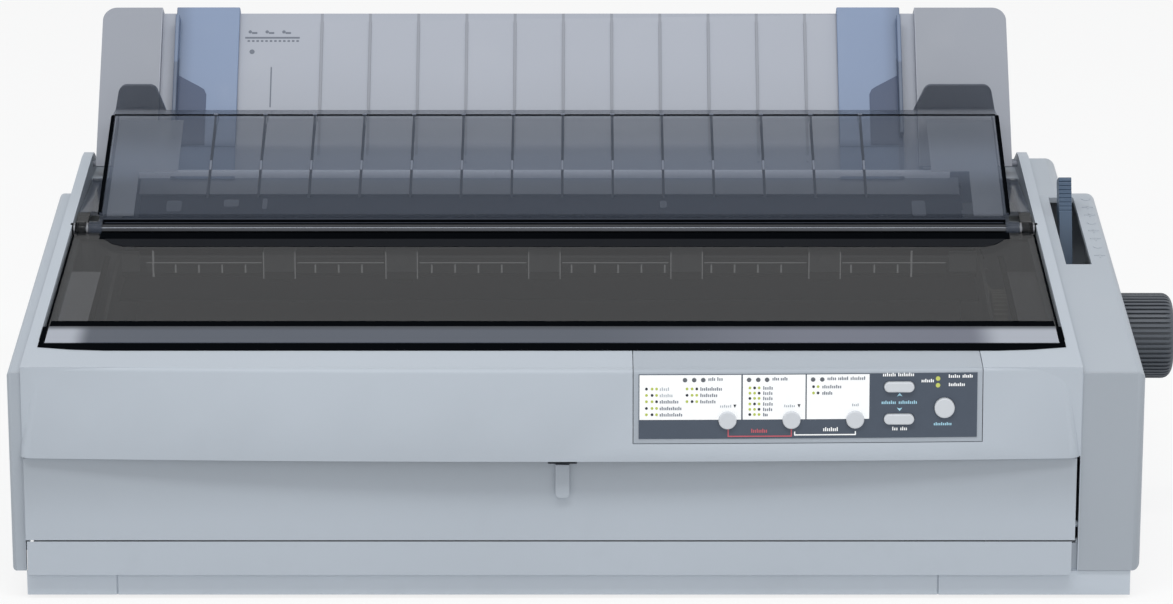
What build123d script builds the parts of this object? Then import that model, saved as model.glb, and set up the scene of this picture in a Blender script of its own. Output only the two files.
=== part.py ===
from build123d import *
import os
from math import atan2, cos, hypot, radians, sin

# A wide-carriage dot matrix printer, in millimetres.
# X runs to the right, Y to the back and Z up. The origin is on the table,
# below the middle of the box that holds the printer with its paper guide raised.

# ---- overall size ----
overall_width = 639.0
overall_depth = 402.0
guide_top_z = 256.0
knob_reach = 30.5
case_left_x = -overall_width / 2
case_right_x = overall_width / 2 - knob_reach
knob_end_x = overall_width / 2
front_y = -overall_depth / 2
guide_back_y = overall_depth / 2
case_back_y = front_y + 351.0

# ---- fits and wall sizes ----
wall = 3.0
sheet = 2.0
seam_gap = 0.4
cover_gap = 0.8
running_gap = 0.05
seat_gap = 0.3
swing_gap = 0.4

# ---- upper housing ----
left_pod_width = 7.5
right_block_width = 34.0
rail_width = 6.0
body_left_x = case_left_x + left_pod_width
block_left_x = case_right_x - right_block_width
rear_right_x = case_right_x - 17.0
opening_left_x = body_left_x + rail_width
opening_right_x = block_left_x - rail_width
opening_mid_x = (opening_left_x + opening_right_x) / 2
skirt_z = 16.0
band_bottom_z = 80.6
band_top_z = 130.0
band_lean = 5.0
band_bow = 7.0
band_corner = 7.0
band_edge_round = 2.5
band_side_overlap = 2.0
band_left_lean = 6.4
band_right_lean = 5.0
deck_front_y = front_y + 11.0
deck_slope = 0.1536
pod_drop = 3.8
pod_front_y = front_y + 12.0
pod_back_y = front_y + 285.0
pod_back_round = 16.0
pod_edge_round = 2.2
pod_lap = 21.0
rear_edge_round = 6.0
block_edge_round = 4.5
cheek_y = front_y + 319.0
cheek_length = 12.0
back_top_z = 168.0
entry_bottom_z = 104.0
entry_top_z = 138.0
entry_inset = 6.0
knob_hole_gap = 2.0

# ---- cover opening and what lies in it ----
opening_front_y = front_y + 44.0
opening_bow = 9.0
opening_corner = 4.0
cover_drop = 2.8
cover_thick = 2.5
ledge_width = 5.0
ledge_thick = 2.5
brim_front_y = front_y + 238.5
brim_back_y = front_y + 314.0
brim_slope = 0.0386
opening_back_y = front_y + 339.0

# ---- hinge rod of the two smoked covers ----
rod_y = front_y + 213.0
rod_z = 157.0
rod_radius = 3.6
rod_pin_radius = 2.5
knuckle_wall = 1.6
knuckle_width = 5.0
cover_rear_gap = 7.0

# ---- hood over the paper path ----
hood_left_x = opening_left_x + 15.0
hood_right_x = opening_right_x - 15.0
hood_front_y = rod_y + 4.5
hood_front_z = 165.6
hood_top_y = front_y + 302.7
hood_top_z = 206.2
hood_back_y = front_y + 317.0
hood_wall = 2.2
hood_rib_count = 14
hood_rib_pitch = 29.4
hood_rib_first_x = hood_left_x + 61.3
hood_rib_depth = 5.0
hood_rib_thick = 1.4
hood_rib_length = 52.0
ear_height = 15.8
ear_round = 5.0
left_ear_top = (21.0, 28.0)
right_ear_top = (38.0, 46.5)
ear_inset = 3.4

# ---- paper guide and its edge guides ----
guide_left_x = case_left_x + 15.7
guide_right_x = case_right_x - 43.7
guide_front_y = front_y + 318.0
guide_front_z = 171.6
guide_top_y = front_y + 383.0
guide_heel_y = front_y + 330.0
guide_heel_z = 168.5
guide_back_drop = 10.0
guide_left_block = 36.1
guide_right_block = 55.7
guide_wall = 2.5
guide_recess = 6.0
guide_panel_height = 105.5
guide_round = 8.5
guide_pivot_y = front_y + 325.0
guide_pivot_z = 171.6
guide_pin_radius = 1.8
guide_rib_count = 11
guide_rib_pitch = 29.4
guide_rib_first_x = guide_left_x + 132.9
guide_rib_width = 1.4
guide_rib_height = 0.8
guide_rim_height = 5.0
guide_rim_depth = 6.0
guide_rib_end = 5.5
edge_guide_width = 38.4
edge_guide_left_x = guide_left_x + 44.6
edge_guide_right_x = guide_right_x - 102.9
edge_guide_thick = 2.4
edge_guide_foot = 14.0
edge_guide_fence = 7.0
edge_guide_hook = 8.0

# ---- front: sill, drop-down cover, base strip ----
panel_left_x = body_left_x + seam_gap
panel_right_x = block_left_x - 2.0
panel_face_y = front_y + 9.0
panel_thick = 3.0
sill_bottom_z = 14.4
sill_top_z = 33.3
sill_depth = 6.0
sill_ledge_thick = 5.5
front_cover_bottom_z = 34.0
front_cover_top_z = band_bottom_z - 0.6
front_ear_radius = 3.6
front_ear_width = 2.4
front_pin_radius = 1.8
front_pin_length = 4.0
front_boss_half = 5.0
front_hinge_y = panel_face_y + panel_thick + front_ear_radius + 0.6
front_hinge_z = 41.2
tab_x = (panel_left_x + panel_right_x) / 2 + 6.6
tab_width = 7.5
tab_bottom_z = 58.4
tab_top_z = 77.0
tab_proud = 2.4
finger_gap = 4.0

# ---- lower housing ----
base_bottom_z = 2.0
base_step_z = 15.6
base_left_x = body_left_x
base_right_x = case_right_x - 5.0
base_front_y = front_y + 13.0
tray_left_x = body_left_x + wall + 0.5
tray_right_x = rear_right_x - wall - 0.5
tray_back_y = case_back_y - wall - 0.5
tray_top_z = 50.0
front_wall_top_z = 33.0
foot_radius = 10.0
foot_height = 4.0
foot_recess = foot_height - base_bottom_z
foot_inset_x = 42.0
foot_inset_y = 32.0
boss_radius = 5.0
frame_floor_z = 8.0
strip_seam_places = (55.8, 499.2)
strip_seam_width = 0.8

# ---- control panel ----
bezel_left_x = case_right_x - 273.8
bezel_right_x = case_right_x - 87.6
bezel_bottom_z = 90.5
overlay_inset = 2.8
overlay_bottom_z = 93.0
overlay_top_z = 127.6
overlay_thick = 0.4
board_depth = 9.0
board_thick = 1.6
board_boss_radius = 2.6
button_proud = 2.0
button_gap = 0.25
button_travel = 1.0
button_flange = 1.2
button_flange_thick = 1.0
led_radius = 1.2
led_proud = 0.2
round_button_radius = 4.8
pause_button_radius = 5.4
pill_button_width = 16.1
pill_button_height = 5.6
button_row_z = 103.1
font_button_x = bezel_left_x + 50.1
pitch_button_x = bezel_left_x + 84.2
tear_button_x = bezel_left_x + 118.2
paper_button_x = bezel_left_x + 141.6
load_button_z = 120.4
pause_button_x = bezel_left_x + 165.9
pause_button_z = 108.9
led_row_z = 124.6
led_row_places = (27.4, 32.3, 37.1, 61.5, 66.4, 71.1, 95.6, 100.5)
led_column_x = bezel_left_x + 162.3
led_column_z = (124.6, 121.0)

# ---- frames ----
left_frame_x = case_left_x + 41.5
right_frame_x = case_right_x - 75.0
frame_left_face = left_frame_x + sheet
frame_right_face = right_frame_x
floor_left_x = case_left_x + 20.0
floor_right_x = case_right_x - 27.0
floor_front_y = front_y + 41.0
floor_back_y = front_y + 338.0
floor_flange = 12.0
floor_sheet = 1.5
floor_top_z = frame_floor_z + floor_sheet
frame_front_y = front_y + 45.0
frame_back_y = front_y + 319.0

# ---- platen and paper feed gears ----
platen_y = front_y + 146.0
platen_z = 112.0
platen_radius = 20.0
platen_margin = 14.0
shaft_radius = 5.0
knob_radius = 24.0
knob_gap = 0.8
knob_end_round = 5.5
knob_ridges = 52
knob_ridge_width = 1.5
knob_ridge_height = 1.2
tooth_height = 2.2
gear_thick = 8.0
gear_gap = 2.0
gear_x = right_frame_x + sheet + gear_gap
platen_teeth = 52
idler_teeth = 35
transfer_teeth = 63
tractor_teeth = 42
pinion_teeth = 18
gear_module = 1.0
mesh_gap = 0.3
idler_angle = -27.0
transfer_angle = -7.0
tractor_angle = 15.0
pinion_angle = -107.0
stud_radius = 3.0
feed_motor_size = 42.0
feed_motor_length = 34.0

# ---- carriage ----
carriage_rod_y = front_y + 97.0
carriage_rod_z = 80.0
carriage_rod_radius = 6.0
carriage_rest_x = left_frame_x + 63.0
carriage_width = 46.0
carriage_height = 22.0
carriage_depth = 26.0
rail_depth = 12.0
rail_height = 9.7
head_width = 28.0
head_depth = 24.0
head_height = 30.0
nose_width = 12.0
nose_reach = 9.0
pulley_radius = 8.0
pulley_height = 9.0
pulley_flange = 2.0
pulley_flange_thick = 1.2
pulley_y = front_y + 69.0
pulley_z = 63.0
belt_thick = 1.2
belt_height = 6.0
drive_pulley_x = right_frame_x - 26.0
idler_pulley_x = left_frame_x + 26.0
carriage_motor_size = 42.0

# ---- ribbon cartridge ----
cartridge_front_y = front_y + 49.0
cartridge_back_y = front_y + 83.0
cartridge_bottom_z = 97.0
cartridge_top_z = 120.0
cartridge_margin = 14.0
cartridge_arm = 12.0
ribbon_gap = 2.2
ribbon_thick = 0.6
ribbon_height = 13.0
ribbon_knob_radius = 8.0
ribbon_knob_height = 4.0

# ---- gap lever ----
gap_lever_y = front_y + 76.0
gap_lever_z = 84.0
gap_lever_length = 34.0
gap_lever_thick = 3.0

# ---- paper tension unit ----
tension_y = front_y + 198.0
tension_z = 142.0
tension_bar_depth = 6.0
tension_bar_height = 6.0
tension_box_width = 17.6
tension_box_depth = 14.0
tension_box_places = (90.4, 160.4, 242.1, 323.5, 402.5)
tension_roller_radius = 4.5
tension_shaft_radius = 1.5
tension_roller_drop = 7.5

# ---- tractors and chute ----
tractor_width = 22.0
tractor_length = 46.0
tractor_height = 22.0
tractor_left_place = 46.0
tractor_right_place = 64.0
tractor_door_thick = 2.0
support_shaft_gap = 22.0
support_shaft_radius = 4.0
square_shaft = 8.0
square_bore_gap = 0.4
shaft_stub = 3.0
chute_thick = 1.5
chute_top_y = front_y + 317.0
chute_top_z = 161.0
chute_bend_y = front_y + 263.0
chute_bend_z = 135.0
chute_end_y = front_y + 175.0
chute_end_z = 126.0

# ---- release lever ----
slot_left_x = case_right_x - 27.5
slot_right_x = case_right_x - 13.0
slot_front_y = front_y + 162.0
slot_back_y = front_y + 263.0
lever_width = 7.2
lever_y = front_y + 211.0
lever_z = 95.0
lever_top_y = front_y + 246.0
lever_top_z = 180.0
lever_pin_radius = 3.0
lever_hub_radius = 8.0
lever_depth = 13.0
lever_grooves = 8
lever_groove_pitch = 2.4
lever_bracket_x = case_right_x - 37.0
lever_bracket_half = 16.0
lever_boss_length = 5.0

# ---- power switch ----
switch_y = front_y + 78.0
switch_z = 44.0
switch_length = 24.0
switch_height = 14.0
switch_recess = 0.9
switch_pivot_depth = 7.0
switch_gap = 0.5
switch_lug = 4.0
switch_behind = 2.0
switch_pin_radius = 1.5

# ---- electronics ----
supply_left_x = case_left_x + 48.0
supply_width = 120.0
supply_depth = 108.0
supply_height = 40.0
board_left_x = case_left_x + 190.0
board_width = 235.0
board_length = 150.0
board_lift = 7.0
electronics_back_y = case_back_y - 22.0
inlet_x = case_left_x + 84.0
inlet_width = 28.0
inlet_height = 20.0
inlet_z = 32.0
inlet_depth = 18.0
port_z = 30.0
port_places = (case_left_x + 372.0, case_left_x + 318.0)
port_widths = (56.0, 12.5)
port_heights = (13.0, 11.0)
port_depth = 16.0
screw_radius = 1.5
screw_head_radius = 3.2
screw_head_height = 1.6
screw_length = 10.0
screw_columns = (case_left_x + 45.0, case_right_x - 48.5)
screw_rows = (60.0, 150.0)

# ---- places worked out from the sizes above ----
ledge_drop = cover_drop + cover_thick + seat_gap
guide_lean = atan2(guide_top_y - guide_front_y, guide_top_z - guide_front_z)
guide_plane = Plane(
    origin=(0, guide_front_y, guide_front_z),
    x_dir=(1, 0, 0),
    z_dir=(0, -cos(guide_lean), sin(guide_lean)),
)
hood_angle = atan2(hood_top_z - hood_front_z, hood_top_y - hood_front_y)
rail_inner_left = opening_left_x - wall
rail_inner_right = opening_right_x + wall
knuckle_radius = rod_radius + running_gap + knuckle_wall
cover_knuckle_left = (opening_left_x + 2.5, opening_left_x + 2.5 + knuckle_width)
hood_knuckle_left = (hood_left_x - knuckle_width - 0.4, hood_left_x + hood_wall)
cover_knuckle_right = (opening_right_x - 2.5 - knuckle_width, opening_right_x - 2.5)
hood_knuckle_right = (hood_right_x - hood_wall, hood_right_x + knuckle_width + 0.4)
mid_frame_x = (frame_left_face + frame_right_face) / 2
board_bottom_z = bezel_bottom_z + 4.0
board_top_z = led_row_z + led_radius + 1.4


def deck_z(y):
    """Height of the sloping top of the rails."""
    return band_top_z + (y - deck_front_y) * deck_slope


def brim_z(y):
    """Height of the hood's side brims."""
    return deck_z(brim_front_y) - cover_drop + (y - brim_front_y) * brim_slope


def gear_radius(teeth):
    """Tip radius of a gear."""
    return gear_module * teeth / 2


def next_gear(y, z, teeth_a, teeth_b, angle):
    """Centre of a gear that runs beside another one."""
    reach = gear_radius(teeth_a) + gear_radius(teeth_b) + mesh_gap
    return y + reach * cos(radians(angle)), z + reach * sin(radians(angle))


idler_y, idler_z = next_gear(platen_y, platen_z, platen_teeth, idler_teeth, idler_angle)
transfer_y, transfer_z = next_gear(idler_y, idler_z, idler_teeth, transfer_teeth, transfer_angle)
tractor_y, tractor_z = next_gear(transfer_y, transfer_z, transfer_teeth, tractor_teeth, tractor_angle)
pinion_y, pinion_z = next_gear(idler_y, idler_z, idler_teeth, pinion_teeth, pinion_angle)
support_y = tractor_y + support_shaft_gap


def save(piece, name):
    """Label a finished piece and write its file."""
    piece.part.label = name
    export_step(piece.part, f"parts/{name}.step")


def block(x, y, z, mode=Mode.ADD):
    """A box between two X, two Y and two Z values."""
    with Locations(((x[0] + x[1]) / 2, (y[0] + y[1]) / 2, (z[0] + z[1]) / 2)):
        Box(x[1] - x[0], y[1] - y[0], z[1] - z[0], mode=mode)


def rod_along_x(x, y, z, radius, mode=Mode.ADD):
    """A round bar between two X values."""
    with Locations(Location(((x[0] + x[1]) / 2, y, z), (0, 90, 0))):
        Cylinder(radius, x[1] - x[0], mode=mode)


def rod_along_y(x, y, z, radius, mode=Mode.ADD):
    """A round bar between two Y values."""
    with Locations(Location((x, (y[0] + y[1]) / 2, z), (90, 0, 0))):
        Cylinder(radius, y[1] - y[0], mode=mode)


def rod_along_z(x, y, z, radius, mode=Mode.ADD):
    """A round bar between two Z values."""
    with Locations((x, y, (z[0] + z[1]) / 2)):
        Cylinder(radius, z[1] - z[0], mode=mode)


def side_prism(points, x, mode=Mode.ADD):
    """A closed outline of (y, z) points, extruded between two X values."""
    with BuildSketch(Plane.YZ.offset(x[0])) as outline:
        with BuildLine():
            Polyline(*points, close=True)
        make_face()
    extrude(outline.sketch, amount=x[1] - x[0], mode=mode)


def gear_disc(x, y, z, teeth, mode=Mode.ADD):
    """A toothed disc whose axis runs along X."""
    root = gear_radius(teeth) - tooth_height
    with BuildSketch(Plane(origin=(x[0], y, z), x_dir=(0, 1, 0), z_dir=(1, 0, 0))) as outline:
        Circle(root)
        with PolarLocations(root, teeth):
            with BuildLine(mode=Mode.PRIVATE) as flank:
                Polyline(
                    (-0.4, -gear_module * 0.95),
                    (tooth_height, -gear_module * 0.4),
                    (tooth_height, gear_module * 0.4),
                    (-0.4, gear_module * 0.95),
                    close=True,
                )
            add(make_face(flank.edges(), mode=Mode.PRIVATE))
    extrude(outline.sketch, amount=x[1] - x[0], mode=mode)


# ------------------------------------------------------------------ upper housing


def band_section(z, inset):
    """One level of the front band: bowed face, rounded corners, leaning back."""
    rise = (z - band_bottom_z) / (band_top_z - band_bottom_z)
    left = body_left_x - band_side_overlap + rise * band_left_lean + inset
    right = block_left_x - rise * band_right_lean - inset
    middle_y = front_y + rise * band_lean + inset
    end_y = middle_y + band_bow
    with BuildSketch(Plane.XY.offset(z)) as section:
        with BuildLine():
            ThreePointArc((left, end_y), ((left + right) / 2, middle_y), (right, end_y))
            Polyline((right, end_y), (right, opening_front_y), (left, opening_front_y), (left, end_y))
        make_face()
        fillet(section.vertices().group_by(Axis.Y)[0], radius=band_corner - inset)
    return section.sketch


def band_form(inset):
    """The front band as a solid, smaller all round by the inset."""
    low_z = band_bottom_z - 2 * inset
    with BuildPart() as form:
        loft([band_section(low_z, inset), band_section(band_top_z - inset, inset)])
        if inset <= 0:
            top_edges = form.edges().group_by(Axis.Z)[-1]
            fillet(top_edges.sort_by(Axis.Y)[:-1], radius=band_edge_round)
    return form.part


def deck_points(low):
    """Outline of the sloping deck between the rails, from the band to the back."""
    return (
        (deck_front_y, band_bottom_z - low),
        (deck_front_y, band_top_z),
        (cheek_y, deck_z(cheek_y)),
        (cheek_y + cheek_length, deck_z(cheek_y)),
        (case_back_y, back_top_z),
        (case_back_y, skirt_z - low),
        (pod_back_y - pod_lap - low, skirt_z - low),
        (pod_back_y - pod_lap - low, band_bottom_z - low),
    )


def pod_points(low):
    """Outline of the side pods."""
    return (
        (pod_front_y, skirt_z - low),
        (pod_front_y, deck_z(pod_front_y) - pod_drop),
        (pod_back_y, deck_z(pod_back_y) - pod_drop),
        (pod_back_y, skirt_z - low),
    )


def rear_points(low):
    """Outline of the narrower rear corner on the right."""
    return (
        (pod_back_y - pod_lap, skirt_z - low),
        (pod_back_y - pod_lap, deck_z(pod_back_y - pod_lap) - pod_drop),
        (cheek_y + cheek_length, deck_z(cheek_y) - pod_drop),
        (case_back_y, back_top_z - pod_drop),
        (case_back_y, skirt_z - low),
    )


def flat_prism(points, x, inset):
    """A sharp side outline extruded along X, smaller by the inset."""
    with BuildPart() as form:
        with BuildSketch(Plane.YZ.offset(x[0])):
            with BuildLine():
                Polyline(*points, close=True)
            make_face()
            if inset:
                offset(amount=-inset, kind=Kind.INTERSECTION)
        extrude(amount=x[1] - x[0])
    return form.part


def pod_prism(x, inset, edge_side, edge_round):
    """A side pod, rounded at its corners and round its outer face."""
    low = 4 * inset
    with BuildPart() as form:
        with BuildSketch(Plane.YZ.offset(x[0])) as outline:
            with BuildLine():
                Polyline(*pod_points(low), close=True)
            make_face()
            top = outline.vertices().group_by(Axis.Y)[-1].sort_by(Axis.Z)[-1]
            fillet(top, radius=pod_back_round)
            if inset:
                offset(amount=-inset, kind=Kind.INTERSECTION)
        extrude(amount=x[1] - x[0])
        if not inset:
            fillet(form.edges().group_by(Axis.X)[edge_side], radius=edge_round)
    return form.part


def housing_form(inset):
    """The whole upper housing as a solid, or the hollow inside it."""
    low = 4 * inset
    reach = 6 * inset
    with BuildPart() as form:
        add(band_form(inset))
        add(flat_prism(deck_points(low), (body_left_x + inset, block_left_x - inset), inset))
        add(pod_prism((case_left_x + inset, body_left_x + reach), inset, 0, pod_edge_round))
        add(pod_prism((block_left_x - reach, case_right_x - inset), inset, -1, block_edge_round))
        add(rear_corner(inset))
    return form.part


def rear_corner(inset):
    """The narrower rear corner on the right, rounded along the outer edges of its roof."""
    points = rear_points(4 * inset)
    with BuildPart(mode=Mode.PRIVATE) as corner:
        add(flat_prism(points, (block_left_x - 6 * inset, rear_right_x - inset), inset))
        if not inset:
            outer = corner.faces().sort_by(Axis.X)[-1]
            fillet(outer.edges().sort_by(Axis.Z)[-2:], radius=rear_edge_round)
    return corner.part


def housing_shell():
    """The bare moulding: the form less the hollow inside it."""
    with BuildPart() as shell:
        add(housing_form(0.0))
        add(housing_form(wall), mode=Mode.SUBTRACT)
    return shell.part


def opening_plan(grow, back_y):
    """Plan of the cover opening, with the bowed front edge."""
    front = opening_front_y - grow
    left = opening_left_x - grow
    right = opening_right_x + grow
    with BuildSketch(Plane.XY.offset(band_bottom_z)) as plan:
        with BuildLine():
            ThreePointArc((left, front), (opening_mid_x, front - opening_bow), (right, front))
            Polyline((right, front), (right, back_y), (left, back_y), (left, front))
        make_face()
        fillet(plan.vertices().group_by(Axis.Y)[0], radius=opening_corner)
    return plan.sketch


def slab(y, drop_top, drop_bottom):
    """A strip that runs parallel to the deck, between two depths below it."""
    return (
        (y[0], deck_z(y[0]) - drop_top),
        (y[1], deck_z(y[1]) - drop_top),
        (y[1], deck_z(y[1]) - drop_bottom),
        (y[0], deck_z(y[0]) - drop_bottom),
    )


def front_ledge(top_drop):
    """The bowed ledge that carries the front edge of the smoked cover."""
    ledge_y = (opening_front_y - opening_bow - 2 * wall, opening_front_y + ledge_width)
    across = (rail_inner_left, rail_inner_right)
    with BuildPart() as ledge:
        extrude(opening_plan(wall, brim_front_y), amount=deck_z(0))
        extrude(opening_plan(-ledge_width, brim_back_y), amount=deck_z(0), mode=Mode.SUBTRACT)
        side_prism(slab(ledge_y, top_drop, ledge_drop + ledge_thick), across, mode=Mode.INTERSECT)
        with BuildPart(mode=Mode.PRIVATE) as pocket:
            extrude(opening_plan(0.0, brim_back_y), amount=deck_z(0))
            side_prism(slab(ledge_y, -wall, ledge_drop), across, mode=Mode.INTERSECT)
        add(pocket.part, mode=Mode.SUBTRACT)
    return ledge.part


def rail_wall(x):
    """Inner wall of a rail, down to the ledge that the covers rest on."""
    arm_end_y = brim_front_y - 0.5
    low = ledge_drop + ledge_thick
    side_prism(
        (
            (opening_front_y - wall, deck_z(opening_front_y - wall) - wall),
            (opening_front_y - wall, deck_z(opening_front_y - wall) - low),
            (arm_end_y, deck_z(arm_end_y) - low),
            (case_back_y - wall, brim_z(case_back_y) - low + cover_drop),
            (case_back_y - wall, back_top_z - wall),
            (cheek_y + cheek_length, deck_z(cheek_y) - wall),
            (cheek_y, deck_z(cheek_y) - wall),
        ),
        x,
    )


def side_ledges(x, seat_x):
    """Ledges beside the opening: under the cover, under the brim, and the guide's seat."""
    brim_low = cover_thick + seat_gap
    ends = (opening_front_y + wall, rod_y - 8.0)
    side_prism(slab(ends, ledge_drop, ledge_drop + ledge_thick), x)
    back = case_back_y - wall
    side_prism(
        (
            (brim_front_y + 2.0, brim_z(brim_front_y + 2.0) - brim_low),
            (back, brim_z(back) - brim_low),
            (back, brim_z(back) - brim_low - ledge_thick),
            (brim_front_y + 2.0, brim_z(brim_front_y + 2.0) - brim_low - ledge_thick),
        ),
        x,
    )
    seat_front_y = brim_back_y + cover_gap
    side_prism(
        (
            (seat_front_y, brim_z(seat_front_y) - brim_low - ledge_thick),
            (seat_front_y, brim_z(seat_front_y) - 0.5),
            (back, brim_z(back) - 0.5),
            (back, brim_z(back) - brim_low - ledge_thick),
        ),
        seat_x,
    )


def rear_cutouts(y, grow):
    """Solid tool for the holes of the inlet, the ports and the screws."""
    half_w = inlet_width / 2 + grow
    block((inlet_x - half_w, inlet_x + half_w), y, (inlet_z - grow, inlet_z + inlet_height + grow))
    for place, width, height in zip(port_places, port_widths, port_heights):
        half = width / 2 + grow
        block((place - half, place + half), y, (port_z - grow, port_z + height + grow))
    for up in screw_rows:
        for x in screw_columns:
            rod_along_y(x, y, up, screw_radius + running_gap)


def panel_holes():
    """Solid tool for every hole through the control panel."""
    y = (front_y - wall, deck_front_y + wall)
    grow = button_gap
    with BuildPart() as holes:
        for x in (font_button_x, pitch_button_x, tear_button_x):
            rod_along_y(x, y, button_row_z, round_button_radius + grow)
        rod_along_y(pause_button_x, y, pause_button_z, pause_button_radius + grow)
        for z in (load_button_z, button_row_z):
            pill_bar(paper_button_x, y, z, grow)
        for x, z in led_places():
            rod_along_y(x, y, z, led_radius + running_gap)
    return holes.part


def pill_bar(x, y, z, grow, mode=Mode.ADD):
    """A bar with a pill-shaped section, between two Y values."""
    with BuildSketch(Plane(origin=(x, y[0], z), x_dir=(-1, 0, 0), z_dir=(0, 1, 0))) as outline:
        SlotOverall(pill_button_width + 2 * grow, pill_button_height + 2 * grow)
    extrude(outline.sketch, amount=y[1] - y[0], mode=mode)


def led_places():
    """Centres of the status lamps."""
    row = [(bezel_left_x + place, led_row_z) for place in led_row_places]
    return row + [(led_column_x, z) for z in led_column_z]


def panel_region(grow, bottom):
    """The box that the control panel's moulding fills."""
    return (
        (bezel_left_x - grow, bezel_right_x + grow),
        (front_y - wall, opening_front_y + wall),
        (bottom - grow, band_top_z + 4 * wall),
    )


def housing_fittings():
    """What is moulded inside the shell: ledges, rail walls, seats and bosses."""
    rear_shelf_z = brim_z(opening_back_y) - 0.5
    rear_shelf_y = (opening_back_y, case_back_y - wall + 0.5)
    seat_left = (rail_inner_left, hood_left_x - cover_gap)
    seat_right = (hood_right_x + cover_gap, rail_inner_right)
    with BuildPart() as fittings:
        for x in ((rail_inner_left, opening_left_x), (opening_right_x, rail_inner_right)):
            rail_wall(x)
        side_ledges((rail_inner_left, opening_left_x + ledge_width), seat_left)
        side_ledges((opening_right_x - ledge_width, rail_inner_right), seat_right)
        block((rail_inner_left, rail_inner_right), rear_shelf_y, (rear_shelf_z - wall, rear_shelf_z))
        add(front_ledge(wall))
        boss_x = (case_right_x - wall - lever_boss_length, case_right_x - wall + 0.5)
        rod_along_x(boss_x, lever_y, lever_z, lever_pin_radius + wall)
        switch_lugs()
        front_cover_bosses()
    return fittings.part


def housing_cuts():
    """Every hole through the finished housing, as one solid tool."""
    across = (rail_inner_left - 1.0, rail_inner_right + 1.0)
    knob_wall = (case_right_x - 2 * wall, case_right_x + 1.0)
    back = (case_back_y - wall - 0.1, case_back_y + 1.0)
    entry_x = (frame_left_face + entry_inset, frame_right_face - entry_inset)
    slot_x = (slot_left_x, slot_right_x)
    pod_left = (case_left_x + wall, body_left_x + 1.0)
    pod_right = (block_left_x - 1.0, block_left_x + 2 * front_pin_length)
    with BuildPart() as cuts:
        rod_along_x(across, rod_y, rod_z, rod_pin_radius + running_gap)
        rod_along_x(across, guide_pivot_y, guide_pivot_z, guide_pin_radius + running_gap)
        rod_along_x(knob_wall, platen_y, platen_z, shaft_radius + knob_hole_gap)
        block(slot_x, (slot_front_y, slot_back_y), (platen_z + platen_radius, guide_top_z))
        for x in (pod_left, pod_right):
            rod_along_x(x, front_hinge_y, front_hinge_z, front_pin_radius + running_gap)
        pin_x = (lever_bracket_x + sheet, case_right_x - wall)
        rod_along_x(pin_x, lever_y, lever_z, lever_pin_radius + running_gap)
        switch_cut()
        rear_cutouts(back, seat_gap)
        block(entry_x, back, (entry_bottom_z, entry_top_z))
    return cuts.part


def make_upper_housing(shell):
    """Upper housing: band, deck, rails, pods and the openings in them."""
    with BuildPart() as housing:
        add(shell)
        with BuildPart(mode=Mode.PRIVATE) as opening:
            extrude(opening_plan(0.0, case_back_y - wall), amount=deck_z(case_back_y))
        add(opening.part, mode=Mode.SUBTRACT)
        add(housing_fittings())
        block(*panel_region(seam_gap, bezel_bottom_z), mode=Mode.SUBTRACT)
        add(front_ledge(wall + seat_gap))
        add(housing_cuts(), mode=Mode.SUBTRACT)
    save(housing, "upper_housing")


def switch_cut():
    """Hole in the left pod for the rocker, and the bores for its pins."""
    half_y = switch_length / 2 + switch_gap
    half_z = switch_height / 2 + switch_gap
    block(
        (case_left_x - 1.0, case_left_x + wall + 0.1),
        (switch_y - half_y, switch_y + half_y),
        (switch_z - half_z, switch_z + half_z),
    )
    bore_z = (switch_z - half_z - switch_lug - 1.0, switch_z + half_z + switch_lug + 1.0)
    rod_along_z(case_left_x + switch_pivot_depth, switch_y, bore_z, switch_pin_radius + running_gap)


def front_cover_bosses():
    """Bosses inside the pods that hold the front cover's pins."""
    left = (case_left_x + wall - 0.5, body_left_x - seat_gap)
    right = (block_left_x + seat_gap, block_left_x + seat_gap + 2 * front_pin_length)
    for x in (left, right):
        y = (pod_front_y + wall - 0.5, front_hinge_y + front_boss_half)
        block(x, y, (front_hinge_z - front_boss_half, front_hinge_z + front_boss_half))


def switch_lugs():
    """Two lugs behind the left pod that carry the rocker's pins."""
    half_z = switch_height / 2 + switch_gap
    x = (case_left_x + wall, case_left_x + switch_pivot_depth + switch_lug)
    for z in (switch_z + half_z, switch_z - half_z - switch_lug):
        block(x, (switch_y - switch_lug, switch_y + switch_lug), (z, z + switch_lug))


def make_power_switch():
    """Rocker switch with its two pivot pins."""
    half_z = switch_height / 2
    with BuildPart() as rocker:
        block(
            (case_left_x + switch_recess, case_left_x + switch_pivot_depth + switch_behind),
            (switch_y - switch_length / 2, switch_y + switch_length / 2),
            (switch_z - half_z, switch_z + half_z),
        )
        fillet(rocker.edges().filter_by(Axis.Z).group_by(Axis.X)[0], radius=2.0)
        pin_z = (switch_z - half_z - switch_lug + 0.5, switch_z + half_z + switch_lug - 0.5)
        rod_along_z(case_left_x + switch_pivot_depth, switch_y, pin_z, switch_pin_radius)
    save(rocker, "power_switch")


# ------------------------------------------------------------------ control panel


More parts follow.
